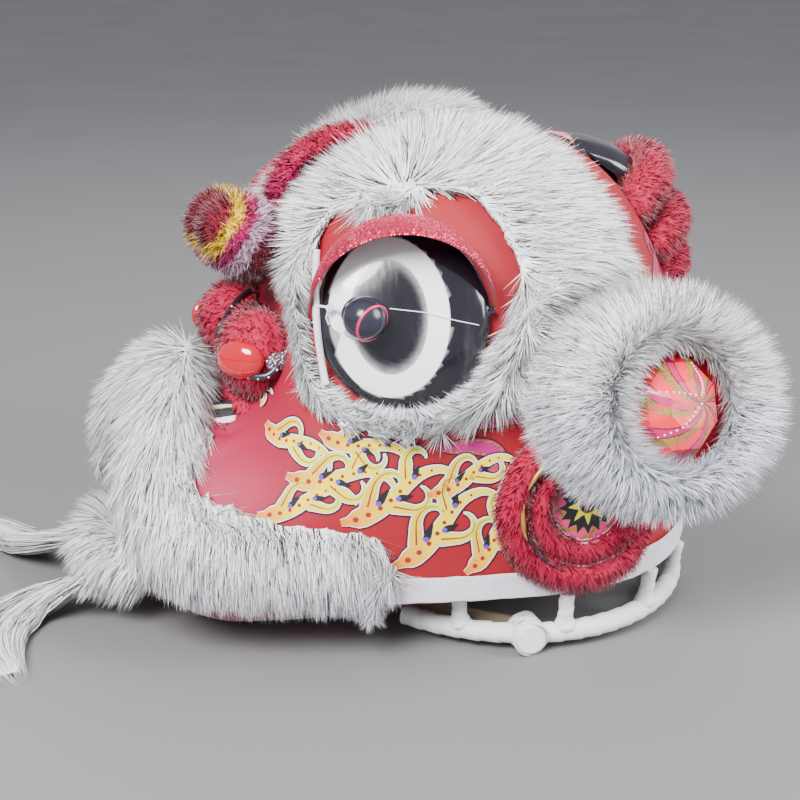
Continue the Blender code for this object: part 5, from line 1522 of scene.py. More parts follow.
    def twins(self, left: bpy.types.Object, material: bpy.types.Material | None, slot: str,
              bodies: tuple[Body, Body], node: str) -> None:
        """Dresses a left piece and its mirrored copy."""
        if material is not None:
            left.data.materials.clear()
            left.data.materials.append(material)
        right = mirrored(left, left.name.replace("left", "right"))
        for obj, body, side in ((left, bodies[0], Side.LEFT), (right, bodies[1], Side.RIGHT)):
            nodes = [f"{node}_{side.word}"] if node else []
            dress(obj, obj.data.materials[0], slot, body, *nodes)


@dataclass
class Cheek:
    """The cheeks' painted discs."""

    head: Head
    radius: float = 0.041

    def build(self) -> None:
        """Makes both discs."""
        centre = self.head.on_shell(CHEEK_AIM, CHEEK_NORMAL)
        back, up = plane_axes(CHEEK_NORMAL)
        matrix = turned_to(back, up, CHEEK_NORMAL, centre)
        left = self.head.copy_of("cheek_disc_left", "cheek_disc_left_paint")
        edit_all(left)
        bpy.ops.mesh.subdivide(number_cuts=11)
        close_edit()
        smooth(left, 40)
        local = np.array([matrix.inverted() @ Vector(p) for p in points_of(left)])
        set_floats(left, "flat_x", local[:, 0])
        set_floats(left, "flat_y", local[:, 1] / 0.93)
        left.data.materials.append(self.paint())
        right = mirrored(left, "cheek_disc_right_paint")
        dress(left, left.data.materials[0], "cup_paint", Body.HEAD, "cheek_disc_left")
        dress(right, left.data.materials[0], "cup_paint", Body.HEAD, "cheek_disc_right")

    def paint(self) -> bpy.types.Material:
        """The disc's sunburst: rays, star, dotted points and glitter scrolls."""
        material, graph, shader = new_material("cup_paint")
        x, y = graph.kept("flat_x"), graph.kept("flat_y")
        square = graph.math("ADD", graph.math("MULTIPLY", x, x), graph.math("MULTIPLY", y, y))
        reach = graph.math("SQRT", square)
        turn = graph.math("ARCTAN2", y, x)
        glitter = graph.node("ShaderNodeGroup", node_tree=glitter_group())
        glitter.inputs["Scale"].default_value = 1500.0
        gold = graph.mix(glitter.outputs["Specks"], GOLD, (0.16, 0.08, 0.02))
        swirl = graph.math("SINE", graph.math("MULTIPLY_ADD", reach, 420.0,
                                              graph.math("MULTIPLY", turn, 8.0)))
        colour = graph.mix(graph.math("GREATER_THAN", swirl, 0.55), (0.80, 0.02, 0.20), gold)
        burst = self.rays(graph, turn, 16.0, 0.0285, 0.0040)
        colour = graph.mix(graph.inside(graph.math("SUBTRACT", burst, reach), -0.0012, 0.0003),
                           colour, gold)
        colour = graph.mix(graph.inside(graph.math("SUBTRACT", burst, reach), 0.0, 0.0003),
                           colour, BLACK)
        star = self.rays(graph, turn, 8.0, 0.0170, 0.0052)
        inside_star = graph.math("SUBTRACT", star, reach)
        colour = graph.mix(graph.inside(inside_star, 0.0, 0.0003), colour, (0.62, 0.66, 0.04))
        colour = graph.mix(graph.inside(inside_star, 0.0022, 0.0012), colour, YELLOW)
        for edge, tone in ((0.0092, BLACK), (0.0052, RED), (0.0026, DEEP_CRIMSON)):
            shade = graph.math("SUBTRACT", edge, reach)
            colour = graph.mix(graph.inside(shade, 0.0, 0.0003), colour, tone)
        rim = graph.math("SUBTRACT", reach, self.radius - 0.0035)
        colour = graph.mix(graph.inside(rim, 0.0, 0.0004), colour, (0.82, 0.55, 0.62))
        graph.put(shader.inputs["Base Color"], colour)
        cloud = graph.noise(graph.place(), 60.0, 3.0)
        graph.put(shader.inputs["Roughness"], graph.math("MULTIPLY_ADD", cloud, 0.3, 0.25))
        graph.put(shader.inputs["Normal"], graph.bump(cloud, 0.2, 0.0005))
        return material

    @staticmethod
    def rays(graph: Graph, turn: bpy.types.NodeSocket, count: float, reach: float,
             swing: float) -> bpy.types.NodeSocket:
        """How far a burst of pointed rays reaches at each angle."""
        wave = graph.math("ABSOLUTE", graph.math("SINE", graph.math("MULTIPLY", turn, count / 2)))
        sharp = graph.math("SUBTRACT", 1.0, wave)
        return graph.math("MULTIPLY_ADD", sharp, 2 * swing, reach - swing)


@dataclass
class Ear:
    """The ears' painted cups with their bead rows."""

    head: Head
    stand_off: float = 0.042
    cup_back: float = 0.024
    cup_down: float = 0.008
    radius: float = 0.057
    height: float = 0.046

    def build(self) -> None:
        """Makes both cups."""
        back, up = plane_axes(EAR_NORMAL)
        plate = self.head.on_shell(EAR_AIM, EAR_NORMAL, self.stand_off)
        centre = plate + back * self.cup_back - up * self.cup_down
        matrix = turned_to(back, up, EAR_NORMAL, centre)
        left = self.head.copy_of("ear_cup_left", "ear_cup_left_paint")
        edit_all(left)
        bpy.ops.mesh.subdivide(number_cuts=5)
        close_edit()
        smooth(left, 28)
        local = np.array([matrix.inverted() @ Vector(p) for p in points_of(left)])
        set_floats(left, "cup_turn", np.arctan2(local[:, 1], local[:, 0] - 0.016))
        set_floats(left, "cup_rise", local[:, 2])
        set_floats(left, "cup_reach", np.hypot(local[:, 0] - 0.016, local[:, 1]))
        left.data.materials.append(self.paint())
        beads = self.beads(left, matrix)
        pearl = PlainFinish("bead_white", WHITE, (0.78, 0.80, 0.86), 0.35)
        beads.data.materials.append(pearl.build())
        left = join([left, beads], "ear_cup_left_paint")
        right = mirrored(left, "ear_cup_right_paint")
        dress(left, left.data.materials[0], "cup_paint", Body.EAR_LEFT, "ear_cup_left")
        dress(right, left.data.materials[0], "cup_paint", Body.EAR_RIGHT, "ear_cup_right")

    def paint(self) -> bpy.types.Material:
        """Stripes in red, hot pink and gold that meet at the cup's tip, lined in black."""
        material, graph, shader = new_material("ear_cup_stripes")
        turn, reach = graph.kept("cup_turn"), graph.kept("cup_reach")
        curved = graph.math("MULTIPLY_ADD", reach, 14.0, turn)
        wave = graph.math("FRACT", graph.math("MULTIPLY", curved, 8.0 / (2 * math.pi)))
        glitter = graph.node("ShaderNodeGroup", node_tree=glitter_group())
        glitter.inputs["Scale"].default_value = 1500.0
        gold = graph.mix(glitter.outputs["Specks"], GOLD, (0.16, 0.08, 0.02))
        colour = graph.mix(graph.inside(wave, 0.42, 0.01), (0.80, 0.015, 0.035), HOT_PINK)
        colour = graph.mix(graph.inside(wave, 0.70, 0.01), colour, gold)
        line = graph.math("ABSOLUTE", graph.math("SUBTRACT", wave, 0.42))
        near = graph.math("MULTIPLY", line, reach)
        colour = graph.mix(graph.inside(near, 0.0007, 0.0002), BLACK, colour)
        line = graph.math("ABSOLUTE", graph.math("SUBTRACT", wave, 0.70))
        near = graph.math("MULTIPLY", line, reach)
        colour = graph.mix(graph.inside(near, 0.0006, 0.0002), BLACK, colour)
        graph.put(shader.inputs["Base Color"], colour)
        cloud = graph.noise(graph.place(), 50.0, 3.0)
        graph.put(shader.inputs["Roughness"], graph.math("MULTIPLY_ADD", cloud, 0.25, 0.18))
        graph.put(shader.inputs["Normal"], graph.bump(cloud, 0.25, 0.0007))
        shader.inputs["Coat Weight"].default_value = 0.4
        return material

    def beads(self, cup: bpy.types.Object, matrix: Matrix) -> bpy.types.Object:
        """The rows of small white beads over the cup."""
        tree = Head.tree_of(cup)
        marks = []
        for row in (((-0.052, 0.016), (-0.020, 0.014), (0.014, 0.008)),
                    ((0.014, 0.008), (0.020, 0.022), (0.014, 0.040)),
                    ((-0.034, -0.030), (-0.008, -0.020), (0.014, 0.000))):
            marks.extend(rounded_path([(*r, 0.0) for r in row], 12))
        beads = []
        for index, (u, v, _) in enumerate(marks):
            start = matrix @ Vector((u, v, 0.10))
            hit, _, _, _ = tree.ray_cast(start, -EAR_NORMAL, 0.12)
            if hit is None:
                continue
            bpy.ops.mesh.primitive_ico_sphere_add(subdivisions=1, radius=0.0013, location=hit)
            beads.append(settle(named(f"bead_{index}")))
        return smooth(join(beads, "beads"))


# Plain pieces


@dataclass
class PlainPieces:
    """Pieces that keep their solid's form, with softened edges and their own finish."""

    head: Head
    edge: float = 0.0007

    def copy(self, node: str, material: bpy.types.Material, slot: str, body: Body) -> None:
        """Makes one such piece."""
        obj = self.head.copy_of(node, node + "_finished")
        modifier = obj.modifiers.new("edges", "BEVEL")
        modifier.width = self.edge
        modifier.segments = 2
        modifier.limit_method = "ANGLE"
        modifier.angle_limit = math.radians(35)
        apply_all(obj)
        smooth(obj, 35)
        dress(obj, material, slot, body, node)

    def build(self) -> None:
        """Makes all of them."""
        wood = PlainFinish("bare_wood", (0.34, 0.26, 0.18), (0.20, 0.15, 0.11), 0.75,
                           cloud_scale=40.0, stretch=(1.0, 0.08, 1.0), bump=0.5).build()
        red = PlainFinish("ear_back_paint", (0.66, 0.01, 0.03), (0.50, 0.01, 0.03), 0.4,
                          coat=0.3).build()
        steel = PlainFinish("foot_steel", (0.55, 0.55, 0.57), (0.42, 0.42, 0.44), 0.35, 1.0).build()
        sides = ((Side.LEFT, Body.EAR_LEFT), (Side.RIGHT, Body.EAR_RIGHT))
        for side, ear in sides:
            self.copy("jaw_arm_" + side.word, wood, "bare_wood", Body.JAW)
            self.copy("ear_plate_" + side.word, red, "cup_paint", ear)
            self.copy("ear_lug_" + side.word, red, "cup_paint", Body.HEAD)
            self.copy("spring_foot_" + side.word, steel, "spring_steel", Body.HEAD)


@dataclass
class Nose:
    """The nose's glossy nostril bowls, dotted bands and foil patches."""

    head: Head
    lobe: Vector = Vector((0.064, -0.168, 0.286))
    radius: float = 0.047

    def build(self) -> None:
        """Makes both sides' details."""
        gloss = PlainFinish("red_gloss", (0.40, 0.001, 0.008), (0.48, 0.002, 0.015), 0.12, coat=0.8,
                            cloud_scale=14.0, bump=0.3, bump_depth=0.002).build()
        band = PlainFinish("band_black", BLACK, (0.03, 0.03, 0.035), 0.3, coat=0.3).build()
        dots = PlainFinish("dot_white", WHITE, (0.75, 0.75, 0.78), 0.4).build()
        foil = PlainFinish("foil", (0.62, 0.62, 0.64), (0.03, 0.03, 0.04), 0.22, 0.8,
                           cloud_scale=260.0, bump=0.9, bump_depth=0.002).build()
        tree = Head.tree_of(self.head.node("nose"))
        near = ((-0.042, -0.002), (-0.036, -0.014), (-0.022, -0.024), (-0.004, -0.028),
                (0.014, -0.024), (0.028, -0.010), (0.036, 0.008))
        hook = ((0.018, 0.034), (0.004, 0.020), (-0.006, -0.004), (-0.004, -0.016),
                (0.010, -0.012), (0.022, 0.006))
        pieces = [
            self.band(tree, "near_band", near, Side.LEFT, band, dots),
            self.band(tree, "hook_band", hook, Side.RIGHT, band, dots),
            self.patch(tree, foil),
        ]
        left = join(pieces, "nose_trim_left")
        right = mirrored(left, "nose_trim_right")
        for obj in (left, right):
            dress(obj, band, "black_gloss", Body.HEAD)
        for side in Side:
            node = "nostril_" + side.word
            bowl = self.head.copy_of(node, node + "_gloss")
            modifier = bowl.modifiers.new("edges", "BEVEL")
            modifier.width = 0.0012
            modifier.segments = 2
            modifier.angle_limit = math.radians(40)
            apply_all(bowl)
            smooth(bowl, 50)
            dress(bowl, gloss, "red_gloss", Body.HEAD, node)

    def seen(self, side: Side, right: float, up: float) -> tuple[Vector, Vector]:
        """A lobe's centre and the direction to a place given as seen in three-quarter view."""
        look = Vector((0.919, -0.246, 0.309))
        level = Vector((0.259, 0.966, 0.0))
        high = look.cross(level)
        a, b = right / self.radius * 0.92, up / self.radius * 0.92
        out = level * a + high * b + look * math.sqrt(max(0.02, 1 - a * a - b * b))
        centre = Vector((self.lobe.x * side.value, *self.lobe[1:])) + HEAD_SHIFT
        return centre, out.normalized()

    def band(self, tree: BVHTree, name: str, rows: Sequence[tuple[float, float]], side: Side,
             black: bpy.types.Material, white: bpy.types.Material) -> bpy.types.Object:
        """A raised black band with white dots, laid over a lobe's fur.

        Args:
            tree: the nose's faces.
            name: the band's name.
            rows: its path, as seen in three-quarter view.
            side: the lobe that it lies on.
            black: the band's material.
            white: the dots' material.

        Returns:
            The band, always on the left side.
        """
        path, outs = [], []
        for right, up in rows:
            centre, out = self.seen(side, right, up)
            hit, _, _, _ = tree.ray_cast(centre + out * 0.1, -out)
            path.append((hit if hit is not None else centre + out * self.radius) + out * 0.0035)
            outs.append(out)
        fine = rounded_path(path, 40)
        strip = tube(name, fine, 0.0046, 8, widths=0.35 + 0.65 * np.sin(np.linspace(0.25, 2.9, 40)))
        strip.data.materials.append(black)
        dots = []
        for index in range(4, 37, 4):
            share = index / 39 * (len(outs) - 1)
            out = outs[int(share)].lerp(outs[min(int(share) + 1, len(outs) - 1)], share % 1)
            place = Vector(fine[index]) + out * 0.0036
            bpy.ops.mesh.primitive_ico_sphere_add(subdivisions=2, radius=0.0014, location=place)
            dot = settle(named(f"{name}_dot_{index}"))
            dot.data.materials.append(white)
            dots.append(dot)
        piece = smooth(join([strip, *dots], name), 60)
        if side is Side.RIGHT:
            piece.data.transform(Matrix.Diagonal((-1.0, 1.0, 1.0, 1.0)))
            piece.data.flip_normals()
        return piece

    def patch(self, tree: BVHTree, foil: bpy.types.Material) -> bpy.types.Object:
        """The crinkled foil patch under the bowl."""
        centre, out = self.seen(Side.LEFT, 0.026, -0.010)
        hit, _, _, _ = tree.ray_cast(centre + out * 0.1, -out)
        place = (hit or centre + out * self.radius) + out * 0.004
        bpy.ops.mesh.primitive_ico_sphere_add(subdivisions=4, radius=1.0)
        obj = named("foil_patch")
        side = out.cross(Vector((0.0, 0.0, 1.0))).normalized()
        turn = Matrix((side, out.cross(side), out)).transposed().to_4x4()
        size = Matrix.Diagonal((0.014, 0.009, 0.004, 1))
        obj.matrix_world = Matrix.Translation(place) @ turn @ size
        settle(obj)
        rng = np.random.default_rng(41)
        bumps = rng.normal(0, 0.0006, len(obj.data.vertices))[:, None]
        set_points(obj, points_of(obj) + normals_of(obj) * bumps)
        obj.data.materials.append(foil)
        return obj


@dataclass(frozen=True)
class Pompom:
    """A pompom's places: where its spring stands and where its ball is."""

    side: Side
    root: Vector
    tip: Vector


POMPOMS = (
    Pompom(Side.LEFT, Vector((0.060, -0.126, 0.345)), Vector((0.062, -0.183, 0.410))),
    Pompom(Side.RIGHT, Vector((-0.045, -0.136, 0.330)), Vector((-0.045, -0.180, 0.394))),
)


@dataclass
class Springs:
    """The pompoms and the coil springs that they stand on."""

    head: Head
    coil: float = 0.0055
    wire: float = 0.0010
    turns: int = 8
    ball: float = 0.038

    def build(self) -> None:
        """Makes both pompoms with their springs."""
        steel = PlainFinish(
            "spring_steel", (0.72, 0.72, 0.74), (0.58, 0.58, 0.60), 0.18, 1.0).build()
        fur = FurFinish("pompom_fur", root_shade=0.75, tone_range=0.12).build()
        for row in POMPOMS:
            foot = self.head.on_shell(row.root + HEAD_SHIFT, Vector((0.0, -0.6, 0.8)))
            tip = row.tip + HEAD_SHIFT
            lean = (tip - foot).normalized()
            self.spring(row.side, foot, tip, lean, steel)
            self.pompom(row.side, tip, lean, fur)

    def spring(self, side: Side, foot: Vector, tip: Vector, lean: Vector,
               steel: bpy.types.Material) -> None:
        """One bright coil with close end turns."""
        start = foot + lean * 0.010
        end = tip - lean * (self.ball * 1.12 - 0.004)
        across = lean.cross(Vector((0.0, 0.0, 1.0))).normalized()
        other = lean.cross(across)
        rows = []
        for i in range(self.turns * 20 + 1):
            turn = 2 * math.pi * i / 20
            ring = across * math.cos(turn) + other * math.sin(turn)
            rows.append(start.lerp(end, i / (self.turns * 20)) + ring * self.coil)
        obj = smooth(tube(f"spring_{side.word}_wire", rows, self.wire, 8))
        dress(obj, steel, "spring_steel", Body.HEAD, "spring_" + side.word)

    def pompom(self, side: Side, tip: Vector, lean: Vector, fur: bpy.types.Material) -> None:
        """One round pompom in coloured bands."""
        form = soft_form(self.head, "pompom_" + side.word, f"pompom_{side.word}_form", 0.0005)
        axis = np.array((lean + Vector((0.0, -0.55, 0.05))).normalized())
        centre = np.array(tip)
        bands = (
            (-9.0, (0.26, 0.001, 0.03)), (-0.30, (0.85, 0.55, 0.74)), (0.10, (0.60, 0.006, 0.16)),
            (0.42, (0.90, 0.58, 0.01)), (0.70, (0.24, 0.001, 0.025)))

        def tint(places: Array, normals: Array) -> Array:
            level = ((places - centre) @ axis) / self.ball
            level = level + 0.05 * np.sin(places[:, 0] * 160)
            rows = np.empty((len(places), 3))
            for low, colour in bands:
                rows[level > low] = colour
            return rows

        def flow(places: Array, normals: Array) -> Array:
            return unit(normals + DOWN * 0.2)
        cut = FurCut(7500, 0.011, 0.0011, 0.92, 0.1, 420, 0.35, 2, mess=0.28, sink=0.001)
        obj = Fur(form, cut, flow, tint, seed=50 + side.value).grow(f"pompom_{side.word}_strands")
        dress(obj, fur, "pompom_fur", Body.HEAD, "pompom_" + side.word)


CREST_LINE = ((0.140, 0.476), (0.195, 0.466), (0.236, 0.446), (0.260, 0.417), (0.272, 0.384),
              (0.277, 0.350), (0.276, 0.322), (0.278, 0.298))


@dataclass
class Crest:
    """The crest's painted spine."""

    head: Head

    def build(self) -> None:
        """Makes them."""
        obj = self.head.copy_of("crest_spine", "crest_spine_paint")
        edit_all(obj)
        bpy.ops.mesh.subdivide(number_cuts=5)
        bpy.ops.mesh.vertices_smooth(factor=0.5, repeat=5)
        close_edit()
        smooth(obj, 40)
        places = points_of(obj)
        along, total = self.run(places)
        panel = np.full(len(places), -1.0)
        for low, high in ((0.00, 0.16), (0.40, 0.52), (0.66, 0.76), (0.90, 1.0)):
            panel = np.maximum(panel, np.minimum(along - low, high - along) * total)
        set_floats(obj, "panel", panel)
        motif = np.full(len(places), -1.0)
        for share, side in ((0.46, 0.026), (0.08, 0.020), (0.71, 0.022)):
            offset = np.hypot((along - share) * total, np.abs(places[:, 0]) - side)
            motif = np.maximum(motif, 0.0045 - offset)
            motif = np.where(np.abs(offset - 0.0085) < 0.0011, np.maximum(motif, 0.0004), motif)
        set_floats(obj, "motif", motif)
        material = self.paint()
        dress(obj, material, "black_gloss", Body.HEAD, "crest_spine")

    def run(self, places: Array) -> tuple[Array, float]:
        """How far along the spine each place lies, as a share, and the spine's length."""
        line = np.array(CREST_LINE) + np.array((HEAD_SHIFT.y, 0.0))
        fine = rounded_path([(0.0, y, z) for y, z in line], 120)[:, 1:]
        legs = np.linalg.norm(np.diff(fine, axis=0), axis=1)
        run = np.concatenate([[0.0], np.cumsum(legs)])
        gaps = np.linalg.norm(places[:, None, 1:] - fine[None], axis=2)
        return run[gaps.argmin(axis=1)] / run[-1], float(run[-1])

    def paint(self) -> bpy.types.Material:
        """Glossy black with pink panels edged in gold glitter and white motifs."""
        material, graph, shader = new_material("crest_paint")
        glitter = graph.node("ShaderNodeGroup", node_tree=glitter_group())
        glitter.inputs["Scale"].default_value = 1500.0
        gold = graph.mix(glitter.outputs["Specks"], GOLD, (0.12, 0.06, 0.02))
        panel = graph.kept("panel")
        cloud = graph.noise(graph.place(), 30.0, 3.0)
        colour = graph.mix(graph.inside(panel, 0.0), BLACK, gold)
        pink = graph.mix(cloud, (0.86, 0.10, 0.34), (0.80, 0.04, 0.22))
        colour = graph.mix(graph.inside(panel, 0.0035), colour, pink)
        colour = graph.mix(graph.inside(graph.kept("motif"), 0.0), colour, WHITE)
        colour = graph.mix(graph.inside(graph.kept("motif"), 0.0030), colour, BLACK)
        graph.put(shader.inputs["Base Color"], colour)
        graph.put(shader.inputs["Roughness"], graph.math("MULTIPLY_ADD", cloud, 0.2, 0.10))
        graph.put(shader.inputs["Normal"], graph.bump(cloud, 0.3, 0.0015))
        shader.inputs["Coat Weight"].default_value = 0.5
        return material


@dataclass
class CheekTrim:
    """Cords and painted crescents on the cheeks' rolls."""

    head: Head

    def build(self) -> None:
        """Makes both cheeks' trims."""
        centre = self.head.on_shell(CHEEK_AIM, CHEEK_NORMAL)
        back, up = plane_axes(CHEEK_NORMAL)
        tree = self.tree()
        pale = WovenFinish(
            "cheek_piping", (0.86, 0.60, 0.66), (0.80, 0.46, 0.54), 700.0, 0.7).build()
        gold = PlainFinish("crescent_gold", GOLD, (0.62, 0.38, 0.10), 0.35, 0.6,
                           cloud_scale=1200.0, bump=0.4).build()
        black = PlainFinish("crescent_black", BLACK, (0.03, 0.03, 0.03), 0.3).build()
        rows = ((0, 360, 0.0665, 0.0013, pale), (0, 360, 0.0415, 0.0012, pale),
                (132, 158, 0.0770, 0.0026, gold), (170, 201, 0.0765, 0.0026, gold),
                (193, 244, 0.0730, 0.0024, black), (70, 335, 0.0935, 0.0013, pale))
        pieces = []
        for index, (low, high, radius, thick, material) in enumerate(rows):
            closed = high - low == 360
            steps = 72 if closed else 40
            path = []
            for turn in np.radians(np.linspace(low, high, steps, endpoint=not closed)):
                flat = back * math.cos(turn) * radius + up * math.sin(turn) * radius * 0.93
                start = centre + flat + CHEEK_NORMAL * 0.08
                hit, _, _, _ = tree.ray_cast(start, -CHEEK_NORMAL, 0.14)
                lift = 0.0005 if material is pale else 0.004
                path.append((hit if hit is not None else centre + flat) + CHEEK_NORMAL * lift)
            swell = [1.0] * steps if closed or material is pale else list(
                0.15 + 0.85 * np.sin(np.linspace(0.1, math.pi - 0.1, steps)))
            obj = tube(f"trim_{index}", path, thick, 8, closed, swell)
            obj.data.materials.append(material)
            pieces.append(obj)
        left = smooth(join(pieces, "cheek_trim_left"))
        right = mirrored(left, "cheek_trim_right")
        for obj in (left, right):
            dress(obj, pale, "white_tape", Body.HEAD)

    def tree(self) -> BVHTree:
        """The left cheek's solids and the shell as one search tree."""
        points, faces = [], []
        for name in ("head_shell", "cheek_disc_left", "cheek_inner_roll_left",
                     "cheek_outer_roll_left"):
            mesh = self.head.node(name).data
            start = len(points)
            points.extend(v.co for v in mesh.vertices)
            faces.extend([start + v for v in face.vertices] for face in mesh.polygons)
        return BVHTree.FromPolygons(points, faces)


@dataclass
class HornPaint:
    """The painted horn in front of the brows."""

    head: Head

    def build(self) -> None:
        """Makes it."""
        obj = self.head.copy_of("horn", "horn_paint")
        modifier = obj.modifiers.new("round", "SUBSURF")
        modifier.levels = modifier.render_levels = 2
        apply_all(obj)
        smooth(obj)
        material, graph, shader = new_material("horn_stripes")
        split = graph.node("ShaderNodeSeparateXYZ")
        graph.put(split.inputs[0], graph.place())
        cloud = graph.noise(graph.place(), 24.0, 3.0)
        level = graph.math("MULTIPLY_ADD", cloud, 0.010, split.outputs["Z"])
        wave = graph.math("FRACT", graph.math("MULTIPLY", level, 34.0))
        colour = graph.mix(graph.inside(wave, 0.55, 0.02), RED, ORANGE)
        line = graph.math("ABSOLUTE", graph.math("SUBTRACT", wave, 0.55))
        colour = graph.mix(graph.inside(line, 0.05, 0.01), BLACK, colour)
        graph.put(shader.inputs["Base Color"], colour)
        graph.put(shader.inputs["Roughness"], graph.math("MULTIPLY_ADD", cloud, 0.2, 0.22))
        graph.put(shader.inputs["Normal"], graph.bump(cloud, 0.2, 0.001))
        shader.inputs["Coat Weight"].default_value = 0.4
        dress(obj, material, "painted_skin", Body.HEAD, "horn")


@dataclass
class Jaw:
    """The lower jaw: padded velvet cloth with corded seams along its edge."""

    head: Head
    back_y: float = -0.045
    front_y: float = -0.315
    half_width: float = 0.150
    depth: float = 0.062
    front_lift: float = 0.040
    spine_front: float = -0.215
    cord: float = 0.0026

    def build(self) -> None:
        """Makes it."""
        obj = self.head.copy_of("lower_jaw", "lower_jaw_velvet")
        edit_all(obj)
        bpy.ops.mesh.subdivide(number_cuts=4)
        bpy.ops.mesh.vertices_smooth(factor=0.5, repeat=5)
        close_edit()
        smooth(obj, 50)
        velvet = self.velvet()
        dress(obj, velvet, "crimson_sequin", Body.JAW, "lower_jaw")
        rim = [self.edge(reach) for reach in np.linspace(1, -1, 90)]
        seam = [Vector((p.x * 0.985, p.y * 0.99 + 0.0006, p.z - 0.016)) for p in rim]
        cords = [tube("rim_cord", [p + Vector((0, 0, 0.0008)) for p in rim], self.cord, 10)]
        tree = Head.tree_of(self.head.node("lower_jaw"))
        laid = []
        for place in seam:
            out = Vector((place.x, place.y - HEAD_SHIFT.y + 0.12, 0.0)).normalized()
            hit, normal, _, _ = tree.ray_cast(place + out * 0.05, -out, 0.09)
            if hit is not None:
                laid.append(hit + out * 0.0006)
        cords.append(tube("seam_cord", laid, self.cord * 0.55, 8))
        piping = WovenFinish(
            "jaw_piping", (0.60, 0.006, 0.06), (0.74, 0.03, 0.14), 600.0, 0.6).build()
        dress(smooth(join(cords, "lower_jaw_piping")), piping, "crimson_sequin", Body.JAW)

    def velvet(self) -> bpy.types.Material:
        """Crimson velvet with a deep pile and fine pressed quilting."""
        material, graph, shader = new_material("jaw_velvet")
        place = graph.place()
        cloud = graph.noise(place, 16.0, 4.0)
        pile = graph.noise(place, 900.0, 2.0)
        colour = graph.mix(cloud, (0.52, 0.003, 0.045), (0.30, 0.002, 0.028))
        colour = graph.mix(graph.math("MULTIPLY", pile, 0.35), colour, (0.78, 0.02, 0.12))
        graph.put(shader.inputs["Base Color"], colour)
        height = graph.math("MULTIPLY_ADD", pile, 0.4, cloud)
        graph.put(shader.inputs["Normal"], graph.bump(height, 0.5, 0.0012))
        shader.inputs["Roughness"].default_value = 0.55
        shader.inputs["Sheen Weight"].default_value = 0.6
        return material

    def edge(self, reach: float) -> Vector:
        """A place on the jaw's rim at a share of the way round."""
        straight = self.half_width * 0.30
        bow = (self.back_y - straight) - self.front_y
        length = straight + 0.25 * math.pi * (self.half_width + bow)
        part = abs(reach) * length
        side = 1.0 if reach >= 0 else -1.0
        if part > length - straight:
            x, y = side * self.half_width, self.back_y - (length - part)
        else:
            angle = 0.5 * math.pi * part / (length - straight)
            x = side * self.half_width * math.sin(angle) ** 0.85
            y = self.back_y - straight - bow * max(0.0, math.cos(angle)) ** 0.9
        ahead = max(0.0, (self.spine_front - y) / (self.spine_front - self.front_y))
        z = self.front_lift * ahead ** 1.5 + self.depth - self.front_lift * 0.5 * ahead
        return Vector((x, y, z)) + HEAD_SHIFT


BEARD_LEFT = ((0.035, -0.335, 0.060, 0.020), (0.035, -0.362, 0.040, 0.024),
              (0.020, -0.392, 0.020, 0.030), (0.025, -0.425, 0.009, 0.033),
              (0.065, -0.450, 0.009, 0.032), (0.115, -0.455, 0.009, 0.028),
              (0.160, -0.445, 0.009, 0.020), (0.190, -0.434, 0.007, 0.010))
BEARD_RIGHT = ((-0.035, -0.335, 0.064, 0.018), (-0.065, -0.358, 0.050, 0.022),
               (-0.110, -0.385, 0.030, 0.026), (-0.160, -0.408, 0.012, 0.028),
               (-0.205, -0.428, 0.009, 0.024), (-0.245, -0.445, 0.009, 0.016),
               (-0.262, -0.452, 0.006, 0.008))


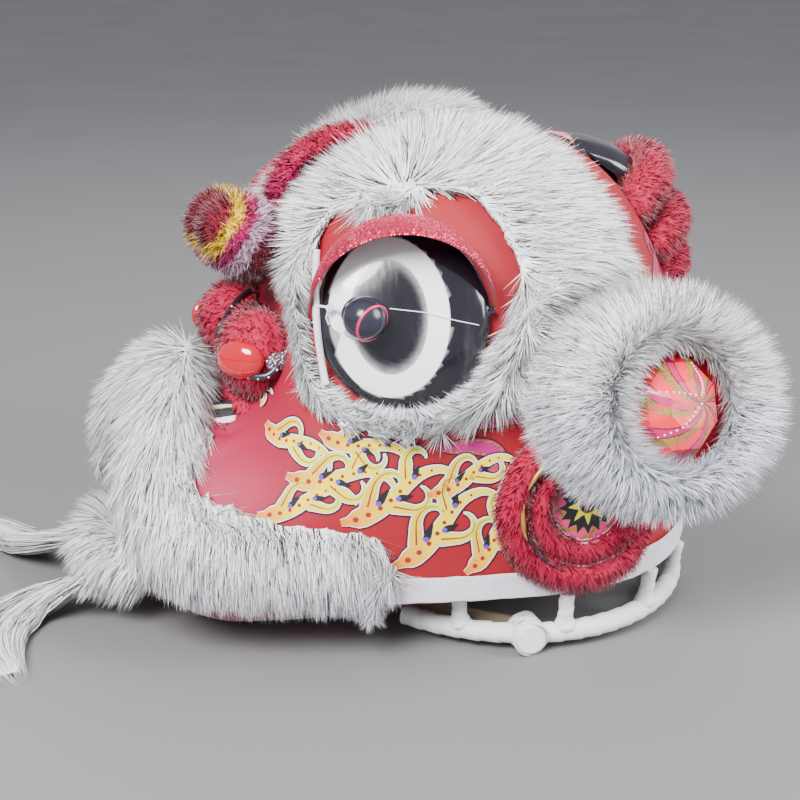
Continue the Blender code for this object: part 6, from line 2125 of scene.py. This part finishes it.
@dataclass
class Beard:
    """The tuft on the jaw's front and the two bundles of long straight hair."""

    head: Head
    thick: float = 0.0085
    strands: int = 1900
    levels: int = 7

    def build(self) -> None:
        """Makes it."""
        form = soft_form(self.head, "beard", "beard_form", 0.0045, 1)

        def tuft(places: Array, normals: Array) -> Array:
            return ((places[:, 1] > -0.352 + HEAD_SHIFT.y) & (normals[:, 1] < 0.3)).astype(float)

        def flow(places: Array, normals: Array) -> Array:
            side = np.sign(places[:, :1]) * np.array((0.25, 0.0, 0.0))
            return unit(side + np.array((0.0, -0.5, -0.65)))
        cut = FurCut(9000, 0.034, 0.0011, 0.42, 0.4, 500, 0.45, 2, mess=0.12)
        # Painted shade: the tuft is darker towards the floor.
        tint = one_colour((0.84, 0.83, 0.82), (0.90, 0.88, 0.86), 0.03, 0.08)
        short = Fur(form, cut, flow, tint, tuft, seed=61).grow("beard_hair_tuft")
        long = [self.bundle(BEARD_LEFT, 62), self.bundle(BEARD_RIGHT, 63)]
        hair = FurFinish("beard_hair", root_shade=0.92, roughness=0.45, sheen=0.1, tone_range=0.10)
        obj = join([short, *long], "beard_strands")
        dress(obj, hair.build(), "beard_hair", Body.JAW, "beard")

    def bundle(self, rows: Sequence[Sequence[float]], seed: int) -> bpy.types.Object:
        """One bundle: strands that keep their place in it and part near its end."""
        rng = np.random.default_rng(seed)
        line = rounded_path(rows, 60)
        centre = line[:, :3] + np.array(HEAD_SHIFT)
        ahead = unit(np.gradient(centre, axis=0))
        across = unit(np.column_stack([ahead[:, 1], -ahead[:, 0], np.zeros(len(ahead))]))
        up = unit(np.cross(across, ahead))
        up *= np.sign(up[:, 2:3])
        count = self.strands
        place = rng.uniform(-1, 1, (count, 2))
        lock = rng.integers(0, 9, count)
        place[:, 0] = place[:, 0] * 0.35 + (lock / 4.0 - 1.0) * 0.72
        start = rng.uniform(0.0, 0.30, count) ** 1.3
        end = rng.uniform(0.72, 1.0, count) * (1.0 - 0.12 * (lock % 3) / 2)
        bow = rng.normal(0, 0.0022, (count, 3))
        paths = np.empty((count, self.levels, 3))
        for k in range(self.levels):
            share = start + (end - start) * k / (self.levels - 1)
            row = share * (len(line) - 1)
            low = np.clip(row.astype(int), 0, len(line) - 2)
            part = (row - low)[:, None]

            def at(table: Array) -> Array:
                return table[low] * (1 - part) + table[low + 1] * part
            width = at(line[:, 3:4])
            room = np.minimum(self.thick, at(centre[:, 2:3]) - 0.0015)
            paths[:, k] = (at(centre) + at(across) * place[:, :1] * width * 0.95
                           + at(up) * place[:, 1:] * room * np.sqrt(1 - place[:, :1] ** 2 * 0.8)
                           + bow * math.sin(math.pi * k / (self.levels - 1)))
        paths[:, :, 2] = np.maximum(paths[:, :, 2], 0.0008)
        name = f"bundle_{seed}"
        obj = strand_mesh(name, paths, 0.0011, np.tile((0.0, 0.0, 1.0), (count, 1)), rng)
        levels = 2 * (self.levels - 1) + 1
        tone = rng.uniform(0.94, 1.0, (count, 1)) * np.array((0.97, 0.955, 0.935))
        set_colours(obj, "tint", np.repeat(tone, levels, axis=0))
        return obj


@dataclass
class Rim:
    """The gauze ribbon, the tape-wound ring with its posts, and the lashings."""

    head: Head
    ring_radius: float = 0.0110
    ring_z: float = 0.0185
    half_width: float = 0.238
    half_depth: float = 0.195
    widest_y: float = 0.110
    start_deg: float = -48.5
    post_radius: float = 0.0085
    rim_z: float = 0.064
    posts: tuple[float, ...] = (-31.0, 0.0, 31.0, 52.0)
    knot_deg: float = -11.5

    def point(self, angle_deg: float) -> Vector:
        """A place on the ring."""
        angle = math.radians(angle_deg)
        return Vector((self.half_width * math.cos(angle),
                       self.widest_y + self.half_depth * math.sin(angle), self.ring_z)) + HEAD_SHIFT

    def wound(self, name: str, path: Array, radius: Array, pitch: float, tape: float,
              sides: int = 20) -> bpy.types.Object:
        """A rod wound round with overlapping tape, its turns in relief.

        Args:
            name: the piece's name.
            path: its middle line, finely divided.
            radius: its radius at each place.
            pitch: how far the tape goes on in one turn.
            tape: how high an edge of the tape stands.
            sides: how many sides its section has.

        Returns:
            The rod as a mesh with closed ends.
        """
        ahead = unit(np.gradient(path, axis=0))
        lean = np.array((0.0, 0.0, 1.0)) if abs(ahead[0, 2]) < 0.8 else np.array((1.0, 0.0, 0.0))
        side = unit(np.cross(ahead, lean))
        other = np.cross(side, ahead)
        run = np.concatenate([[0.0], np.cumsum(np.linalg.norm(np.diff(path, axis=0), axis=1))])
        turns = np.linspace(0, 2 * math.pi, sides, endpoint=False)
        phase = run[:, None] / pitch + turns[None] / (2 * math.pi)
        saw = phase - np.floor(phase)
        wrap = np.minimum(1.0, saw * 1.15) * (1 - step_in(0.90, 1.0, saw))
        lift = radius[:, None] - tape + tape * wrap
        rows = (path[:, None] + side[:, None] * (np.cos(turns)[None, :, None] * lift[..., None])
                + other[:, None] * (np.sin(turns)[None, :, None] * lift[..., None]))
        count = len(path)
        faces = [(i * sides + k, i * sides + (k + 1) % sides, (i + 1) * sides + (k + 1) % sides,
                  (i + 1) * sides + k) for i in range(count - 1) for k in range(sides)]
        faces.append(tuple(range(sides))[::-1])
        faces.append(tuple(range((count - 1) * sides, count * sides)))
        obj = new_mesh(name, rows.reshape(-1, 3), faces)
        edit_all(obj)
        bpy.ops.mesh.normals_make_consistent(inside=False)
        close_edit()
        return smooth(obj, 60)

    def build(self) -> None:
        """Makes the whole rim."""
        tape = WovenFinish("white_tape", (0.84, 0.83, 0.82), (0.66, 0.66, 0.68), 460.0, 0.8).build()
        angles = np.linspace(self.start_deg, 180 - self.start_deg, 760)
        path = np.array([self.point(a) for a in angles])
        pieces = [self.wound("ring_tape", path, np.full(760, self.ring_radius), 0.021, 0.0011)]
        for index, angle in enumerate(self.posts):
            for side in (1.0, -1.0):
                pieces.append(self.post(angle, side, index))
        dress(join(pieces, "lower_ring_tape"), tape, "white_tape", Body.HEAD, "lower_ring")
        left = self.knot()
        right = mirrored(left, "lashing_knot_right_tape")
        dress(left, tape, "white_tape", Body.HEAD, "lashing_knot_left")
        dress(right, tape, "white_tape", Body.HEAD, "lashing_knot_right")
        self.ribbon()

    def post(self, angle_deg: float, side: float, index: int) -> bpy.types.Object:
        """One wound post, flaring where it meets the ring."""
        low = self.point(angle_deg)
        angle = math.radians(angle_deg)
        high = Vector((0.2435 * math.cos(angle), self.widest_y + 0.2035 * math.sin(angle),
                       self.rim_z - 0.0005)) + HEAD_SHIFT
        path = np.array([low.lerp(high, s) for s in np.linspace(0, 1, 46)])
        path[:, 0] *= side
        flare = 1.0 + 0.45 * np.exp(-((np.linspace(0, 1, 46) - 0.16) / 0.14) ** 2)
        radius = self.post_radius * np.minimum(flare, 1.45) * 0.96
        return self.wound(f"post_{index}_{int(side)}", path, radius, 0.016, 0.0010)

    def knot(self) -> bpy.types.Object:
        """A lashing: a core with tape turns crossing over it in a diamond."""
        obj = self.head.copy_of("lashing_knot_left", "lashing_knot_left_tape")
        modifier = obj.modifiers.new("edges", "BEVEL")
        modifier.width = 0.0015
        modifier.segments = 2
        apply_all(obj)
        set_points(obj, points_of(obj) - normals_of(obj) * 0.0009)
        smooth(obj, 50)
        centre = self.point(self.knot_deg)
        pieces = [obj]
        for index, (lean, shift) in enumerate(((0.009, 0.0), (-0.009, 0.0), (0.010, 0.006),
                                               (-0.010, -0.006), (0.008, -0.007), (-0.008, 0.007))):
            points, faces = [], []
            for i in range(64):
                turn = 2 * math.pi * i / 64
                radius = 0.0178 + 0.0002 * (index % 3)
                x = centre.x + shift + lean * math.cos(turn - 0.6)
                for across, rise in ((-0.0036, -0.0008), (-0.0026, 0.0003), (0.0026, 0.0003),
                                     (0.0036, -0.0008)):
                    reach = radius + rise
                    z = max(0.0002, centre.z + reach * math.sin(turn))
                    points.append((x + across, centre.y + reach * math.cos(turn), z))
            for i in range(64):
                for k in range(3):
                    n = (i + 1) % 64
                    faces.append((i * 4 + k, i * 4 + k + 1, n * 4 + k + 1, n * 4 + k))
            belt = new_mesh(f"belt_{index}", np.array(points), faces)
            edit_all(belt)
            bpy.ops.mesh.normals_make_consistent(inside=False)
            close_edit()
            pieces.append(smooth(belt, 60))
        return join(pieces, "lashing_knot_left_tape")

    def ribbon(self) -> None:
        """The white gauze ribbon along the shell's edge, gathered a little."""
        obj = self.head.copy_of("rim_ribbon", "rim_ribbon_gauze")
        edit_all(obj)
        bpy.ops.mesh.subdivide(number_cuts=4)
        bpy.ops.mesh.vertices_smooth(factor=0.5, repeat=2)
        close_edit()
        places = points_of(obj)
        turn = np.arctan2(places[:, 0], places[:, 1] - 0.19)
        wave = np.sin(turn * 34 + np.sin(turn * 9) * 2) * np.sin(places[:, 2] * 120)
        set_points(obj, places + normals_of(obj) * (wave * 0.0005)[:, None])
        smooth(obj, 60)
        gauze = WovenFinish("white_ribbon", (0.86, 0.84, 0.90), (0.78, 0.70, 0.84), 300.0, 0.55,
                            0.35, 0.8).build()
        dress(obj, gauze, "white_ribbon", Body.HEAD, "rim_ribbon")


@dataclass
class Studio:
    """The plain floor, the light and the camera."""

    target: Vector = Vector((0.0, 0.0812, 0.201))
    azimuth_deg: float = 75.0
    elevation_deg: float = 18.0
    distance: float = 1.9
    lens: float = 77.7

    def build(self) -> None:
        """Makes the studio."""
        bpy.ops.mesh.primitive_plane_add(size=40.0, location=(0.0, 0.0, 0.0))
        floor = settle(named("studio_floor"))
        floor.data.materials.append(PlainFinish(
            "studio_grey", (0.17, 0.17, 0.175), (0.155, 0.155, 0.16), 0.7, cloud_scale=3.0,
            bump=0.02).build())
        floor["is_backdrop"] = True
        world = bpy.data.worlds.new("studio_world")
        world.use_nodes = True
        background = world.node_tree.nodes["Background"]
        background.inputs["Color"].default_value = (0.92, 0.94, 1.0, 1.0)
        background.inputs["Strength"].default_value = 0.7
        bpy.context.scene.world = world
        self.light("key", Vector((1.9, -1.5, 2.3)), 1.5, 290.0)
        self.light("fill", Vector((1.4, 2.2, 1.5)), 1.8, 140.0)
        self.light("rim", Vector((-2.0, 0.6, 2.2)), 1.3, 30.0)
        self.camera()

    def light(self, name: str, place: Vector, size: float, power: float) -> None:
        """One soft light turned to the head."""
        data = bpy.data.lights.new(name, "AREA")
        data.shape = "DISK"
        data.size = size
        data.energy = power
        obj = bpy.data.objects.new(name, data)
        obj.location = place
        obj.rotation_euler = (self.target - place).to_track_quat("-Z", "Y").to_euler()
        bpy.context.scene.collection.objects.link(obj)

    def camera(self) -> None:
        """The camera at the photo's angle."""
        azimuth, elevation = math.radians(self.azimuth_deg), math.radians(self.elevation_deg)
        back = Vector((math.sin(azimuth) * math.cos(elevation),
                       -math.cos(azimuth) * math.cos(elevation), math.sin(elevation)))
        data = bpy.data.cameras.new("camera")
        data.lens = self.lens
        data.sensor_width = 36.0
        obj = bpy.data.objects.new("camera", data)
        obj.location = self.target + back * self.distance
        obj.rotation_euler = (-back).to_track_quat("-Z", "Y").to_euler()
        bpy.context.scene.collection.objects.link(obj)
        bpy.context.scene.camera = obj


def main() -> None:
    """Builds every piece and the studio."""
    logging.basicConfig(level=logging.INFO, format="%(name)s: %(message)s")
    head = Head()
    PaintedShell(head).build()
    furs = FurPieces(head)
    furs.lip()
    furs.brow()
    furs.ears()
    furs.nose()
    furs.rolls()
    PlainPieces(head).build()
    Eye(head).build()
    Cheek(head).build()
    CheekTrim(head).build()
    Ear(head).build()
    Nose(head).build()
    Springs(head).build()
    HornPaint(head).build()
    Crest(head).build()
    Jaw(head).build()
    Beard(head).build()
    Rim(head).build()
    Studio().build()


if __name__ == "__main__":
    main()
